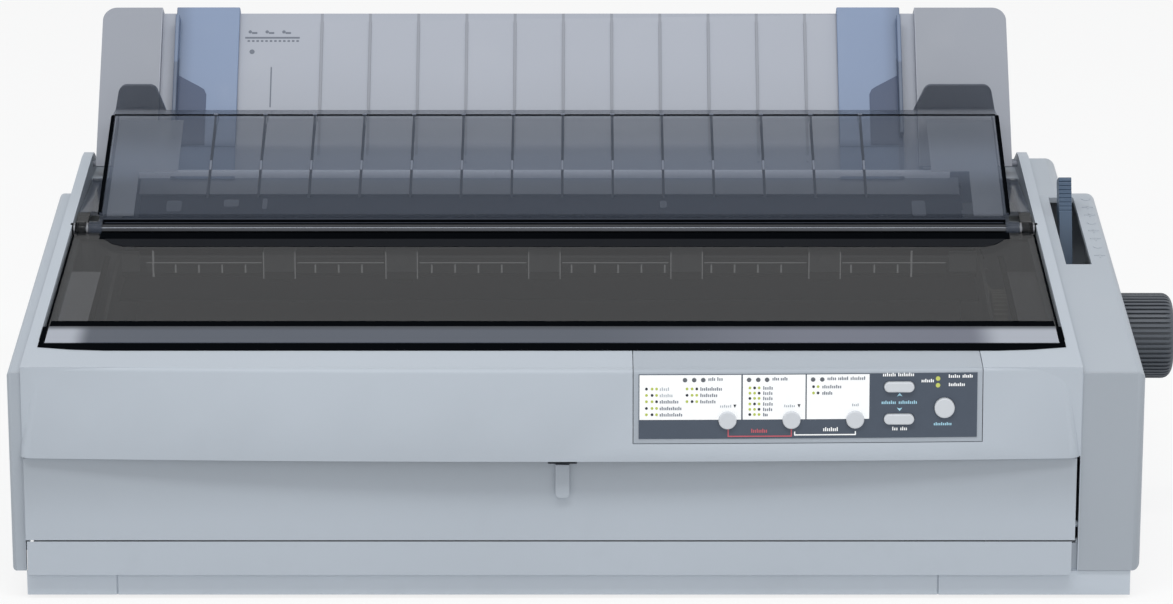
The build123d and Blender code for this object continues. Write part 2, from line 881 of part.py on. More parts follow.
def make_panel(shell):
    """Control panel: flush bezel, overlay, lamps, circuit board and buttons."""
    holes = panel_holes()
    with BuildPart() as bezel:
        add(shell)
        block(*panel_region(0.0, bezel_bottom_z), mode=Mode.INTERSECT)
        with BuildPart(mode=Mode.PRIVATE) as opening:
            extrude(opening_plan(0.0, brim_front_y), amount=deck_z(0))
        add(opening.part, mode=Mode.SUBTRACT)
        for x, z in board_bosses():
            rod_along_y(x, (face_y(x, z) + wall - 0.5, board_front_y()), z, board_boss_radius)
        add(holes, mode=Mode.SUBTRACT)
    save(bezel, "panel_bezel")

    with BuildPart() as overlay:
        add(band_form(-overlay_thick))
        add(band_form(0.0), mode=Mode.SUBTRACT)
        block(
            (bezel_left_x + overlay_inset, bezel_right_x - overlay_inset),
            (front_y - 2.0, deck_front_y),
            (overlay_bottom_z, overlay_top_z),
            Mode.INTERSECT,
        )
        add(holes, mode=Mode.SUBTRACT)
    save(overlay, "panel_overlay")

    with BuildPart() as lamps:
        for x, z in led_places():
            rod_along_y(x, (face_y(x, z) - overlay_thick - led_proud, board_front_y()), z, led_radius)
    save(lamps, "status_leds")

    with BuildPart() as board:
        block(
            (bezel_left_x + 6.0, bezel_right_x - 6.0),
            (board_front_y(), board_front_y() + board_thick),
            (board_bottom_z, board_top_z),
        )
    save(board, "panel_board")

    make_round_button("font_button", font_button_x, button_row_z, round_button_radius)
    make_round_button("pitch_button", pitch_button_x, button_row_z, round_button_radius)
    make_round_button("tear_off_button", tear_button_x, button_row_z, round_button_radius)
    make_round_button("pause_button", pause_button_x, pause_button_z, pause_button_radius)
    make_pill_button("load_button", load_button_z)
    make_pill_button("feed_button", button_row_z)


def face_y(x, z):
    """Place of the band's face at one point, with its bow and lean."""
    rise = (z - band_bottom_z) / (band_top_z - band_bottom_z)
    left = body_left_x - band_side_overlap + rise * band_left_lean
    right = block_left_x - rise * band_right_lean
    half = (right - left) / 2
    radius = (half**2 + band_bow**2) / (2 * band_bow)
    from_middle = x - (left + right) / 2
    return front_y + rise * band_lean + radius - (radius**2 - from_middle**2) ** 0.5


def board_front_y():
    """Front face of the panel's circuit board."""
    return front_y + band_bow + band_lean + board_depth - 4.0


def board_bosses():
    """Places of the posts that hold the panel's circuit board."""
    x_places = (bezel_left_x + 9.0, bezel_right_x - 9.0)
    return [(x, z) for x in x_places for z in (board_bottom_z + 3.5, board_top_z - 4.0)]


def button_reach(x, z):
    """Y of a button's cap, flange and stem end."""
    cap = face_y(x, z) - overlay_thick - button_proud
    flange = face_y(x, z) + wall + 1.0
    return cap, flange, board_front_y() - button_travel - 0.2


def make_round_button(name, x, z, radius):
    """A round key with a flange behind the bezel."""
    cap, flange, end = button_reach(x, z)
    with BuildPart() as button:
        rod_along_y(x, (cap, flange), z, radius)
        fillet(button.edges().group_by(Axis.Y)[0], radius=0.8)
        rod_along_y(x, (flange, flange + button_flange_thick), z, radius + button_flange)
        rod_along_y(x, (flange, end), z, radius / 2)
    save(button, name)


def make_pill_button(name, z):
    """A pill-shaped key with a flange behind the bezel."""
    x = paper_button_x
    cap, flange, end = button_reach(x, z)
    with BuildPart() as button:
        pill_bar(x, (cap, flange), z, 0.0)
        fillet(button.edges().group_by(Axis.Y)[0], radius=0.8)
        pill_bar(x, (flange, flange + button_flange_thick), z, button_flange)
        rod_along_y(x, (flange, end), z, pill_button_height / 3)
    save(button, name)


# ------------------------------------------------------------------ covers


def make_hinge_rod():
    """Rod across the opening that both smoked covers turn on."""
    with BuildPart() as rod:
        rod_along_x((opening_left_x + 1.0, opening_right_x - 1.0), rod_y, rod_z, rod_radius)
        rod_along_x((rail_inner_left + 0.5, rail_inner_right - 0.5), rod_y, rod_z, rod_pin_radius)
    save(rod, "hinge_rod")


def make_printer_cover():
    """Front smoked cover: bowed lip, side arms past the rod, hinge rings."""
    gap = cover_gap
    rear_y = rod_y - cover_rear_gap
    side = (opening_left_x, opening_right_x)
    with BuildPart() as cover:
        extrude(opening_plan(-gap, brim_front_y - 1.0), amount=deck_z(0))
        cover_y = (opening_front_y - opening_bow, brim_front_y - 1.0)
        side_prism(slab(cover_y, cover_drop, cover_drop + cover_thick), side, mode=Mode.INTERSECT)
        arm_x = (cover_knuckle_left[1] + 0.1, cover_knuckle_right[0] - 0.1)
        block(arm_x, (rear_y, brim_front_y), (rod_z - 20, rod_z + 20), mode=Mode.SUBTRACT)
        hole = rod_radius + running_gap
        for x in (cover_knuckle_left, cover_knuckle_right):
            rod_along_x(x, rod_y, rod_z, knuckle_radius)
        rod_along_x(side, rod_y, rod_z, hole, Mode.SUBTRACT)
        for x in ((side[0], cover_knuckle_left[0]), (cover_knuckle_right[1], side[1])):
            rod_along_x(x, rod_y, rod_z, hole + 0.4, Mode.SUBTRACT)
        cut_arm_under_rod(side)
    save(cover, "printer_cover")


def cut_arm_under_rod(side):
    """Trim the arms so that only the rings stand above the rod's axis."""
    clear = (rod_y - rod_radius - 0.6, rod_y + rod_radius + 0.6)
    block((side[0], cover_knuckle_left[0]), clear, (rod_z - 8, rod_z), mode=Mode.SUBTRACT)
    block((cover_knuckle_right[1], side[1]), clear, (rod_z - 8, rod_z), mode=Mode.SUBTRACT)


def hood_points(inset, open_back):
    """Side outline of the hood, from its front edge to its lip."""
    lower = hood_front_z - 4.6
    cosine, sine = cos(hood_angle), sin(hood_angle)
    return (
        (hood_front_y + inset * sine, lower - inset),
        (hood_front_y + inset * sine, hood_front_z - inset * cosine),
        (hood_top_y, hood_top_z - inset),
        (hood_back_y + open_back, hood_top_z - inset),
        (hood_back_y + open_back, brim_z(brim_back_y) - cover_thick - inset),
        (brim_front_y, brim_z(brim_front_y) - cover_thick - inset),
    )


def make_guide_cover():
    """Hood over the paper path: sloped face, side walls, brims, ears and ribs."""
    brim_left = (opening_left_x + cover_gap, hood_left_x + 1)
    brim_right = (hood_right_x - 1, opening_right_x - cover_gap)
    inside = (hood_left_x + hood_wall, hood_right_x - hood_wall)
    with BuildPart() as hood:
        side_prism(hood_points(0.0, 0.0), (hood_left_x, hood_right_x))
        side_prism(hood_points(hood_wall, 5.0), inside, Mode.SUBTRACT)
        for x in (brim_left, brim_right):
            side_prism(
                (
                    (brim_front_y, brim_z(brim_front_y)),
                    (brim_back_y, brim_z(brim_back_y)),
                    (brim_back_y, brim_z(brim_back_y) - cover_thick),
                    (brim_front_y, brim_z(brim_front_y) - cover_thick),
                ),
                x,
            )
        hood_ribs()
        hood_ears()
        for x in (hood_knuckle_left, hood_knuckle_right):
            rod_along_x(x, rod_y, rod_z, knuckle_radius)
            wall_x = (hood_left_x, hood_left_x + hood_wall)
            if x == hood_knuckle_right:
                wall_x = (hood_right_x - hood_wall, hood_right_x)
            block(wall_x, (rod_y, brim_front_y), (rod_z - 1.5, hood_front_z - 3.0))
        across = (hood_knuckle_left[0] - 1, hood_knuckle_right[1] + 1)
        rod_along_x(across, rod_y, rod_z, rod_radius + running_gap, Mode.SUBTRACT)
    save(hood, "guide_cover")


def hood_ribs():
    """Ribs under the hood's sloped face that lead the paper."""
    cosine, sine = cos(hood_angle), sin(hood_angle)
    top = (hood_top_y, hood_top_z - 1.0)
    low = (top[0] - hood_rib_length * cosine, top[1] - hood_rib_length * sine)
    for index in range(hood_rib_count):
        x = hood_rib_first_x + index * hood_rib_pitch
        side_prism(
            (
                (low[0] + 1.0, low[1]),
                top,
                (hood_back_y, top[1]),
                (hood_back_y, top[1] - hood_rib_depth),
                (top[0] + hood_rib_depth * sine, top[1] - hood_rib_depth * cosine),
            ),
            (x - hood_rib_thick / 2, x + hood_rib_thick / 2),
        )


def hood_ears():
    """Two raised ears behind the lip, one at each side."""
    back = (hood_back_y - hood_wall, hood_back_y)
    for side, widths in ((1, left_ear_top), (-1, right_ear_top)):
        outer = hood_left_x if side > 0 else hood_right_x
        root = (outer, back[0], hood_top_z - hood_wall)
        with BuildSketch(Plane(origin=root, x_dir=(side, 0, 0), z_dir=(0, -side, 0))) as outline:
            with BuildLine():
                Polyline(
                    (0.0, 0.0),
                    (ear_inset, ear_height + hood_wall),
                    (ear_inset + widths[0], ear_height + hood_wall),
                    (ear_inset + widths[1], 0.0),
                    close=True,
                )
            make_face()
            fillet(outline.vertices().group_by(Axis.Y)[-1], radius=ear_round)
        extrude(outline.sketch, amount=hood_wall, both=True)


def guide_profile(inset, open_back):
    """Side outline of the guide's deep side blocks."""
    rear_z = guide_top_z - guide_back_drop
    return (
        (guide_front_y + 1.5 * inset, guide_front_z + 0.2 * inset),
        (guide_top_y - 0.1 * inset, guide_top_z - 1.6 * inset),
        (guide_back_y - inset + open_back, rear_z - inset - open_back * 0.8),
        (guide_heel_y + open_back, guide_heel_z + inset - open_back * 0.8),
    )


def on_guide(x, along, depth, mode=Mode.ADD):
    """A box on the guide, by X, by place up its face and by height off its face."""
    middle = Vector((x[0] + x[1]) / 2, (along[0] + along[1]) / 2, depth[0])
    origin = guide_plane.from_local_coords(middle)
    with BuildSketch(Plane(origin, guide_plane.x_dir, guide_plane.z_dir)) as face:
        Rectangle(x[1] - x[0], along[1] - along[0])
    extrude(face.sketch, amount=depth[1] - depth[0], mode=mode)


def make_paper_guide():
    """Paper guide: two hollow side blocks, a recessed panel, rim, ribs and pivots."""
    left = (guide_left_x, guide_left_x + guide_left_block)
    right = (guide_right_x - guide_right_block, guide_right_x)
    panel_depth = (-guide_recess - guide_wall, -guide_recess)
    rim_depth = (panel_depth[0] - guide_rim_depth, panel_depth[1])
    rib_depth = (panel_depth[1], panel_depth[1] + guide_rib_height)
    across = (left[1] - guide_wall, right[0] + guide_wall)
    with BuildPart() as guide:
        for x, side in ((left, 0), (right, -1)):
            add(guide_block(x, side))
        on_guide(across, (0.0, guide_panel_height), panel_depth)
        on_guide(across, (guide_panel_height - guide_rim_height, guide_panel_height), rim_depth)
        on_guide(across, (0.0, guide_wall), rim_depth)
        for index in range(guide_rib_count):
            x = guide_rib_first_x + index * guide_rib_pitch
            half = guide_rib_width / 2
            on_guide((x - half, x + half), (guide_rib_end, guide_panel_height - guide_rib_end), rib_depth)
        for x in ((rail_inner_left + 0.5, left[0] + 1.0), (right[1] - 1.0, rail_inner_right - 0.5)):
            rod_along_x(x, guide_pivot_y, guide_pivot_z, guide_pin_radius)
    save(guide, "paper_guide")


def guide_block(x, outer_side):
    """One hollow side block of the paper guide, open at the back."""
    inner = (x[0] + guide_wall, x[1] - guide_wall)
    with BuildPart() as side_block:
        add(guide_wedge(guide_profile(0.0, 0.0), x, outer_side, guide_round))
        hollow = guide_wedge(guide_profile(guide_wall, 6.0), inner, outer_side, guide_round - guide_wall)
        add(hollow, mode=Mode.SUBTRACT)
    return side_block.part


def guide_wedge(profile, x, outer_side, radius):
    """A side outline across X, with the top edge of its outer face rounded."""
    with BuildPart(mode=Mode.PRIVATE) as wedge:
        side_prism(profile, x)
        outer = wedge.faces().sort_by(Axis.X)[outer_side]
        fillet(outer.edges().sort_by(Axis.Z)[-1], radius=radius)
    return wedge.part


def make_edge_guide(name, x):
    """A sliding edge guide: a wide foot, an outer fence and a hook over the top."""
    floor = -guide_recess + guide_rib_height + seat_gap
    top = guide_panel_height + seat_gap
    face = (floor, floor + edge_guide_thick)
    hook_back = -guide_recess - guide_wall - guide_rim_depth - seat_gap
    span = (x, x + edge_guide_width)
    fence = (x, x + edge_guide_thick) if x < mid_frame_x else (span[1] - edge_guide_thick, span[1])
    with BuildPart() as edge:
        on_guide(span, (edge_guide_foot, top), face)
        on_guide(fence, (edge_guide_foot + 6.0, top - 6.0), (floor, face[1] + edge_guide_fence))
        on_guide(span, (top, top + edge_guide_thick), (hook_back - edge_guide_thick, face[1]))
        on_guide(span, (top - edge_guide_hook, top + 0.1), (hook_back - edge_guide_thick, hook_back))
    save(edge, name)


# ------------------------------------------------------------------ front and base


def make_front_cover():
    """Drop-down front cover with its pull tab and hinge pins."""
    with BuildPart() as cover:
        y = (panel_face_y, panel_face_y + panel_thick)
        block((panel_left_x, panel_right_x), y, (front_cover_bottom_z, front_cover_top_z))
        left_ear = (panel_left_x, panel_left_x + front_ear_width)
        right_ear = (panel_right_x - front_ear_width, panel_right_x)
        for ear in (left_ear, right_ear):
            low_z = front_hinge_z - front_ear_radius
            block(ear, (y[1] - 0.5, front_hinge_y), (low_z, front_hinge_z + front_ear_radius))
            rod_along_x(ear, front_hinge_y, front_hinge_z, front_ear_radius)
        left_pin = (body_left_x - front_pin_length, left_ear[1] - 0.5)
        right_pin = (right_ear[0] + 0.5, block_left_x + front_pin_length)
        for pin in (left_pin, right_pin):
            rod_along_x(pin, front_hinge_y, front_hinge_z, front_pin_radius)
        tab = (tab_x - tab_width / 2, tab_x + tab_width / 2)
        with BuildSketch(Plane(origin=(0, y[0], 0), x_dir=(1, 0, 0), z_dir=(0, -1, 0))) as outline:
            with Locations((tab_x, (tab_bottom_z + tab_top_z) / 2)):
                Rectangle(tab_width, tab_top_z - tab_bottom_z)
            fillet(outline.vertices().group_by(Axis.Y)[0], radius=tab_width / 3)
        extrude(outline.sketch, amount=tab_proud)
        finger_x = (tab[0] - finger_gap, tab[1] + finger_gap)
        block(finger_x, (y[0] - 1, y[1] + 1), (tab_top_z, front_cover_top_z + 1), Mode.SUBTRACT)
    save(cover, "front_cover")


def front_cover_swing():
    """Groove for the drop-down cover's lower edge, which swings below its hinge."""
    reach = hypot(front_hinge_y - panel_face_y, front_hinge_z - front_cover_bottom_z)
    x = (panel_left_x - 1, panel_right_x + 1)
    rod_along_x(x, front_hinge_y, front_hinge_z, reach + swing_gap, Mode.SUBTRACT)


def make_front_sill():
    """Sill strip below the front cover, a channel on the lower housing's front wall."""
    y = (panel_face_y, panel_face_y + panel_thick)
    wall_y = panel_face_y + sill_depth
    x = (panel_left_x + 0.6, panel_right_x - 1.6)
    with BuildPart() as sill:
        block(x, y, (sill_bottom_z, sill_top_z))
        block(x, (y[0], wall_y), (sill_top_z - sill_ledge_thick, sill_top_z))
        block(x, (y[0], wall_y), (base_step_z + seat_gap, base_step_z + seat_gap + panel_thick))
        front_cover_swing()
    save(sill, "front_sill")


def base_plan(inset, z):
    """Plan of the base strip, stepped in behind the right block."""
    with BuildSketch(Plane.XY.offset(z)) as plan:
        with BuildLine():
            Polyline(
                (base_left_x + inset, base_front_y + inset),
                (base_right_x - inset, base_front_y + inset),
                (base_right_x - inset, pod_back_y - inset),
                (rear_right_x - inset, pod_back_y - inset),
                (rear_right_x - inset, case_back_y - inset),
                (base_left_x + inset, case_back_y - inset),
                close=True,
            )
        make_face()
    return plan.sketch


def feet_places():
    """Centres of the four rubber feet."""
    x_places = (base_left_x + foot_inset_x, rear_right_x - foot_inset_x)
    y_places = (base_front_y + foot_inset_y, case_back_y - foot_inset_y)
    return [(x, y) for x in x_places for y in y_places]


def make_lower_housing():
    """Lower housing: base strip, stepped tray walls, bosses and hinge lugs."""
    front_wall_y = panel_face_y + sill_depth
    with BuildPart() as tray:
        extrude(base_plan(0.0, base_bottom_z), amount=base_step_z - base_bottom_z)
        block((tray_left_x, tray_right_x), (front_wall_y, tray_back_y), (base_bottom_z, tray_top_z))
        inner_x = (tray_left_x + wall, tray_right_x - wall)
        inner_y = (front_wall_y + wall, tray_back_y - wall)
        floor_top = base_bottom_z + wall
        extrude(base_plan(wall, floor_top), amount=base_step_z - wall - floor_top, mode=Mode.SUBTRACT)
        block(inner_x, inner_y, (floor_top, tray_top_z + 1), Mode.SUBTRACT)
        tray_x = (tray_left_x - 1, tray_right_x + 1)
        notch_y = (base_front_y, front_hinge_y + front_hinge_z - front_cover_bottom_z + cover_gap)
        block(tray_x, notch_y, (front_wall_top_z, tray_top_z + 1), Mode.SUBTRACT)
        front_cover_swing()
        recess = (base_bottom_z - 1, base_bottom_z + foot_recess)
        for x, y in feet_places():
            rod_along_z(x, y, (floor_top - 0.5, frame_floor_z), boss_radius)
            rod_along_z(x, y, recess, foot_radius, Mode.SUBTRACT)
        groove_y = (base_front_y - 1, base_front_y + strip_seam_width)
        for place in strip_seam_places:
            x = case_left_x + place
            block((x, x + strip_seam_width), groove_y, (0, sill_bottom_z), Mode.SUBTRACT)
        with BuildPart(mode=Mode.PRIVATE) as holes:
            rear_cutouts((tray_back_y - wall - 0.1, tray_back_y + 0.1), seat_gap)
        add(holes.part, mode=Mode.SUBTRACT)
    save(tray, "lower_housing")


def make_feet():
    """Four rubber feet in the recesses of the base."""
    with BuildPart() as feet:
        for x, y in feet_places():
            rod_along_z(x, y, (0.0, foot_height), foot_radius - seat_gap)
        fillet(feet.edges().group_by(Axis.Z)[0], radius=0.6)
    save(feet, "rubber_feet")


# ------------------------------------------------------------------ frames


def make_base_frame():
    """Sheet steel floor with turned-up flanges and the idler pulley's post."""
    x = (floor_left_x, floor_right_x)
    with BuildPart() as floor:
        block(x, (floor_front_y, floor_back_y), (frame_floor_z, floor_top_z))
        for y in (floor_front_y, floor_back_y - floor_sheet):
            block(x, (y, y + floor_sheet), (frame_floor_z, frame_floor_z + floor_flange))
        rod_along_z(idler_pulley_x, pulley_y, (floor_top_z - 0.5, pulley_z - seat_gap), pulley_radius - 2)
        stud_z = (pulley_z - 1, pulley_z + pulley_height + 2)
        rod_along_z(idler_pulley_x, pulley_y, stud_z, stud_radius - running_gap)
    save(floor, "base_frame")


def frame_points():
    """Side outline of a side frame."""
    top = ledge_drop + ledge_thick
    return (
        (frame_front_y, floor_top_z),
        (frame_front_y, deck_z(frame_front_y) - 18.0),
        (tension_y - 40.0, deck_z(tension_y - 40.0) - top - 2.0),
        (tension_y + 10.0, deck_z(tension_y + 10.0) - top - 2.0),
        (tension_y + 24.0, tractor_z + 24.0),
        (frame_back_y, tractor_z + 24.0),
        (frame_back_y, floor_top_z),
    )


def frame_bores(x):
    """Shaft and rod holes through a side frame."""
    rod_along_x(x, platen_y, platen_z, shaft_radius + running_gap, Mode.SUBTRACT)
    rod_along_x(x, carriage_rod_y, carriage_rod_z, carriage_rod_radius, Mode.SUBTRACT)
    rod_along_x(x, tractor_y, tractor_z, support_shaft_radius + running_gap, Mode.SUBTRACT)
    rod_along_x(x, support_y, tractor_z, support_shaft_radius, Mode.SUBTRACT)
    roller_z = tension_z - tension_roller_drop
    rod_along_x(x, tension_y, roller_z, tension_shaft_radius + running_gap, Mode.SUBTRACT)


def make_side_frames():
    """Left and right side frames, with bores, gear studs and the gap lever's pin."""
    with BuildPart() as left:
        x = (left_frame_x, frame_left_face)
        side_prism(frame_points(), x)
        frame_bores((x[0] - 1, x[1] + 1))
    save(left, "left_side_frame")

    with BuildPart() as right:
        x = (right_frame_x, right_frame_x + sheet)
        side_prism(frame_points(), x)
        frame_bores((x[0] - 1, x[1] + 1))
        through = (x[0] - 1, x[1] + 1)
        rod_along_x(through, pinion_y, pinion_z, gear_radius(pinion_teeth) + 1.0, Mode.SUBTRACT)
        for y, z in ((idler_y, idler_z), (transfer_y, transfer_z)):
            rod_along_x((x[1] - 0.5, gear_x + gear_thick + 1.5), y, z, stud_radius)
            rod_along_x((x[1] - 0.5, gear_x - seat_gap), y, z, stud_radius + 2.0)
        lever_pin = (x[0] - gap_lever_thick - 3.0, x[0] + 0.5)
        rod_along_x(lever_pin, gap_lever_y, gap_lever_z, stud_radius)
    save(right, "right_side_frame")


def make_gap_lever():
    """Small lever that sets the gap for thick paper."""
    x = (right_frame_x - gap_lever_thick - 1.0, right_frame_x - 1.0)
    with BuildPart() as lever:
        rod_along_x(x, gap_lever_y, gap_lever_z, stud_radius + 3.0)
        block(x, (gap_lever_y - 3.5, gap_lever_y + 3.5), (gap_lever_z, gap_lever_z + gap_lever_length))
        rod_along_x((x[0] - 6, x[1]), gap_lever_y, gap_lever_z + gap_lever_length, 4.0)
        through = (x[0] - 1, x[1] + 1)
        rod_along_x(through, gap_lever_y, gap_lever_z, stud_radius + running_gap, Mode.SUBTRACT)
    save(lever, "gap_lever")


# ------------------------------------------------------------------ platen and gears


def make_platen():
    """Platen roller, its shaft, the knob outside and the gear beside the frame."""
    roller = (frame_left_face + platen_margin, frame_right_face - platen_margin)
    with BuildPart() as rubber:
        rod_along_x(roller, platen_y, platen_z, platen_radius)
        rod_along_x(roller, platen_y, platen_z, shaft_radius, Mode.SUBTRACT)
    save(rubber, "platen_roller")

    shaft_end = knob_end_x - 7.0
    with BuildPart() as shaft:
        rod_along_x((left_frame_x - 4.0, shaft_end), platen_y, platen_z, shaft_radius)
        chamfer(shaft.edges(), 0.6)
    save(shaft, "platen_shaft")

    knob_x = (case_right_x + knob_gap, knob_end_x)
    with BuildPart() as knob:
        face = Plane(origin=(knob_x[0], platen_y, platen_z), x_dir=(0, 1, 0), z_dir=(1, 0, 0))
        with BuildSketch(face) as outline:
            Circle(knob_radius - knob_ridge_height)
            with PolarLocations(knob_radius - knob_ridge_height, knob_ridges):
                Rectangle(2 * knob_ridge_height, knob_ridge_width)
        extrude(outline.sketch, amount=knob_x[1] - knob_x[0])
        with BuildPart(mode=Mode.PRIVATE) as blank:
            rod_along_x(knob_x, platen_y, platen_z, knob_radius)
            fillet(blank.edges().group_by(Axis.X)[-1], radius=knob_end_round)
        add(blank.part, mode=Mode.INTERSECT)
        rod_along_x((knob_x[0] - 1, shaft_end), platen_y, platen_z, shaft_radius, Mode.SUBTRACT)
    save(knob, "platen_knob")

    make_gear("platen_gear", platen_y, platen_z, platen_teeth, shaft_radius)


def make_gear(name, y, z, teeth, bore):
    """A gear with its bore, beside the right frame."""
    x = (gear_x, gear_x + gear_thick)
    with BuildPart() as gear:
        gear_disc(x, y, z, teeth)
        if gear_radius(teeth) > 16:
            with BuildSketch(Plane(origin=(x[1], y, z), x_dir=(0, 1, 0), z_dir=(1, 0, 0))) as web:
                Circle(gear_radius(teeth) - tooth_height - 3.0)
                Circle(bore + 4.0, mode=Mode.SUBTRACT)
            extrude(web.sketch, amount=-gear_thick / 2, mode=Mode.SUBTRACT)
        rod_along_x((x[0] - 1, x[1] + 1), y, z, bore, Mode.SUBTRACT)
    save(gear, name)


def make_feed_train():
    """Idler gears, the motor's pinion and the paper feed motor."""
    make_gear("idler_gear", idler_y, idler_z, idler_teeth, stud_radius + running_gap)
    make_gear("transfer_gear", transfer_y, transfer_z, transfer_teeth, stud_radius + running_gap)
    make_gear("feed_pinion", pinion_y, pinion_z, pinion_teeth, stud_radius - 0.5 + running_gap)
    half = feed_motor_size / 2
    with BuildPart() as motor:
        x = (frame_right_face - feed_motor_length, frame_right_face)
        block(x, (pinion_y - half, pinion_y + half), (pinion_z - half, pinion_z + half))
        chamfer(motor.edges().filter_by(Axis.X), 5.0)
        rod_along_x((x[1] - 1, x[1] + sheet), pinion_y, pinion_z, 9.0)
        rod_along_x((x[1], gear_x + gear_thick + 2.0), pinion_y, pinion_z, stud_radius - 0.5)
    save(motor, "feed_motor")


def make_tractor_shafts():
    """Square drive shaft with its gear, and the round support shaft."""
    x = (gear_x, gear_x + gear_thick)
    with BuildPart() as drive:
        block(
            (frame_left_face + 1.0, frame_right_face - 1.0),
            (tractor_y - square_shaft / 2, tractor_y + square_shaft / 2),
            (tractor_z - square_shaft / 2, tractor_z + square_shaft / 2),
        )
        rod_along_x((left_frame_x - shaft_stub, x[1] + 1), tractor_y, tractor_z, support_shaft_radius)
        gear_disc(x, tractor_y, tractor_z, tractor_teeth)
    save(drive, "tractor_drive_shaft")

    span = (left_frame_x - shaft_stub, frame_right_face + sheet + 1)
    with BuildPart() as support:
        rod_along_x(span, support_y, tractor_z, support_shaft_radius)
    save(support, "tractor_support_shaft")


# ------------------------------------------------------------------ carriage


def make_carriage():
    """Carriage with its bush and belt clamp, and the print head on it."""
    half = carriage_width / 2
    bottom = carriage_rod_z - carriage_height / 2 + 2.0
    x = (carriage_rest_x - half, carriage_rest_x + half)
    y = (carriage_rod_y - carriage_depth / 2, carriage_rod_y + carriage_depth / 2)
    clamp_y = pulley_y + pulley_radius + 0.3
    with BuildPart() as carriage:
        block(x, y, (bottom, bottom + carriage_height))
        block((x[0] + 12, x[1] - 12), (clamp_y - 3, y[0] + 1), (pulley_z + 3, bottom + carriage_height))
        slot = (clamp_y - seat_gap, clamp_y + belt_thick + seat_gap)
        block((x[0] + 11, x[1] - 11), slot, (pulley_z, belt_z()[1] + seat_gap), Mode.SUBTRACT)
        bush = carriage_rod_radius + running_gap
        rod_along_x((x[0] - 1, x[1] + 1), carriage_rod_y, carriage_rod_z, bush, Mode.SUBTRACT)
    save(carriage, "carriage")

    head_z = (bottom + carriage_height, bottom + carriage_height + head_height)
    head_x = (carriage_rest_x - head_width / 2, carriage_rest_x + head_width / 2)
    back = y[1]
    with BuildPart() as head:
        block(head_x, (back - head_depth, back), head_z)
        for step in range(4):
            fin_y = back - head_depth + 3.0 + step * 4.0
            block(head_x, (fin_y, fin_y + 1.8), (head_z[1] - 9.0, head_z[1] + 1), Mode.SUBTRACT)
        nose = (carriage_rest_x - nose_width / 2, carriage_rest_x + nose_width / 2)
        block(nose, (back, back + nose_reach), (head_z[0] + 8, head_z[1] - 4))
    save(head, "print_head")


def belt_z():
    """Lower and upper edge of the carriage belt."""
    low = pulley_z + (pulley_height - belt_height) / 2
    return low, low + belt_height


def make_carriage_drive():
    """Guide rod, rail, motor, two pulleys and the belt between them."""
    span = (left_frame_x - shaft_stub, frame_right_face + sheet + shaft_stub)
    with BuildPart() as rod:
        rod_along_x(span, carriage_rod_y, carriage_rod_z, carriage_rod_radius)
    save(rod, "guide_rod")

    rail_top = carriage_rod_z - carriage_height / 2 + 2.0 - seat_gap
    with BuildPart() as rail:
        y = (carriage_rod_y + 2.0, carriage_rod_y + 2.0 + rail_depth)
        block((frame_left_face, frame_right_face), y, (rail_top - rail_height, rail_top))
    save(rail, "carriage_rail")

    half = carriage_motor_size / 2
    motor_top = pulley_z - 4.0
    with BuildPart() as motor:
        x = (drive_pulley_x - half, drive_pulley_x + half)
        y = (pulley_y - half, pulley_y + half)
        block(x, y, (floor_top_z, motor_top))
        chamfer(motor.edges().filter_by(Axis.Z), 5.0)
        stud_z = (motor_top - 1, pulley_z + pulley_height + 2)
        rod_along_z(drive_pulley_x, pulley_y, stud_z, stud_radius - 0.5)
    save(motor, "carriage_motor")

    make_pulley("drive_pulley", drive_pulley_x, stud_radius - 0.5 + running_gap)
    make_pulley("idler_pulley", idler_pulley_x, stud_radius)

    reach = drive_pulley_x - idler_pulley_x
    middle = (drive_pulley_x + idler_pulley_x) / 2
    inner = pulley_radius + seat_gap
    with BuildPart() as belt:
        with BuildSketch(Plane(origin=(middle, pulley_y, belt_z()[0]), z_dir=(0, 0, 1))) as loop:
            SlotCenterToCenter(reach, 2 * (inner + belt_thick))
            SlotCenterToCenter(reach, 2 * inner, mode=Mode.SUBTRACT)
        extrude(loop.sketch, amount=belt_height)
    save(belt, "timing_belt")


def make_pulley(name, x, bore):
    """A flanged pulley of the carriage belt."""
    top = pulley_z + pulley_height
    with BuildPart() as pulley:
        rod_along_z(x, pulley_y, (pulley_z, top), pulley_radius)
        for z in (pulley_z, top - pulley_flange_thick):
            rod_along_z(x, pulley_y, (z, z + pulley_flange_thick), pulley_radius + pulley_flange)
        rod_along_z(x, pulley_y, (pulley_z - 1, top + 1), bore, Mode.SUBTRACT)
    save(pulley, name)


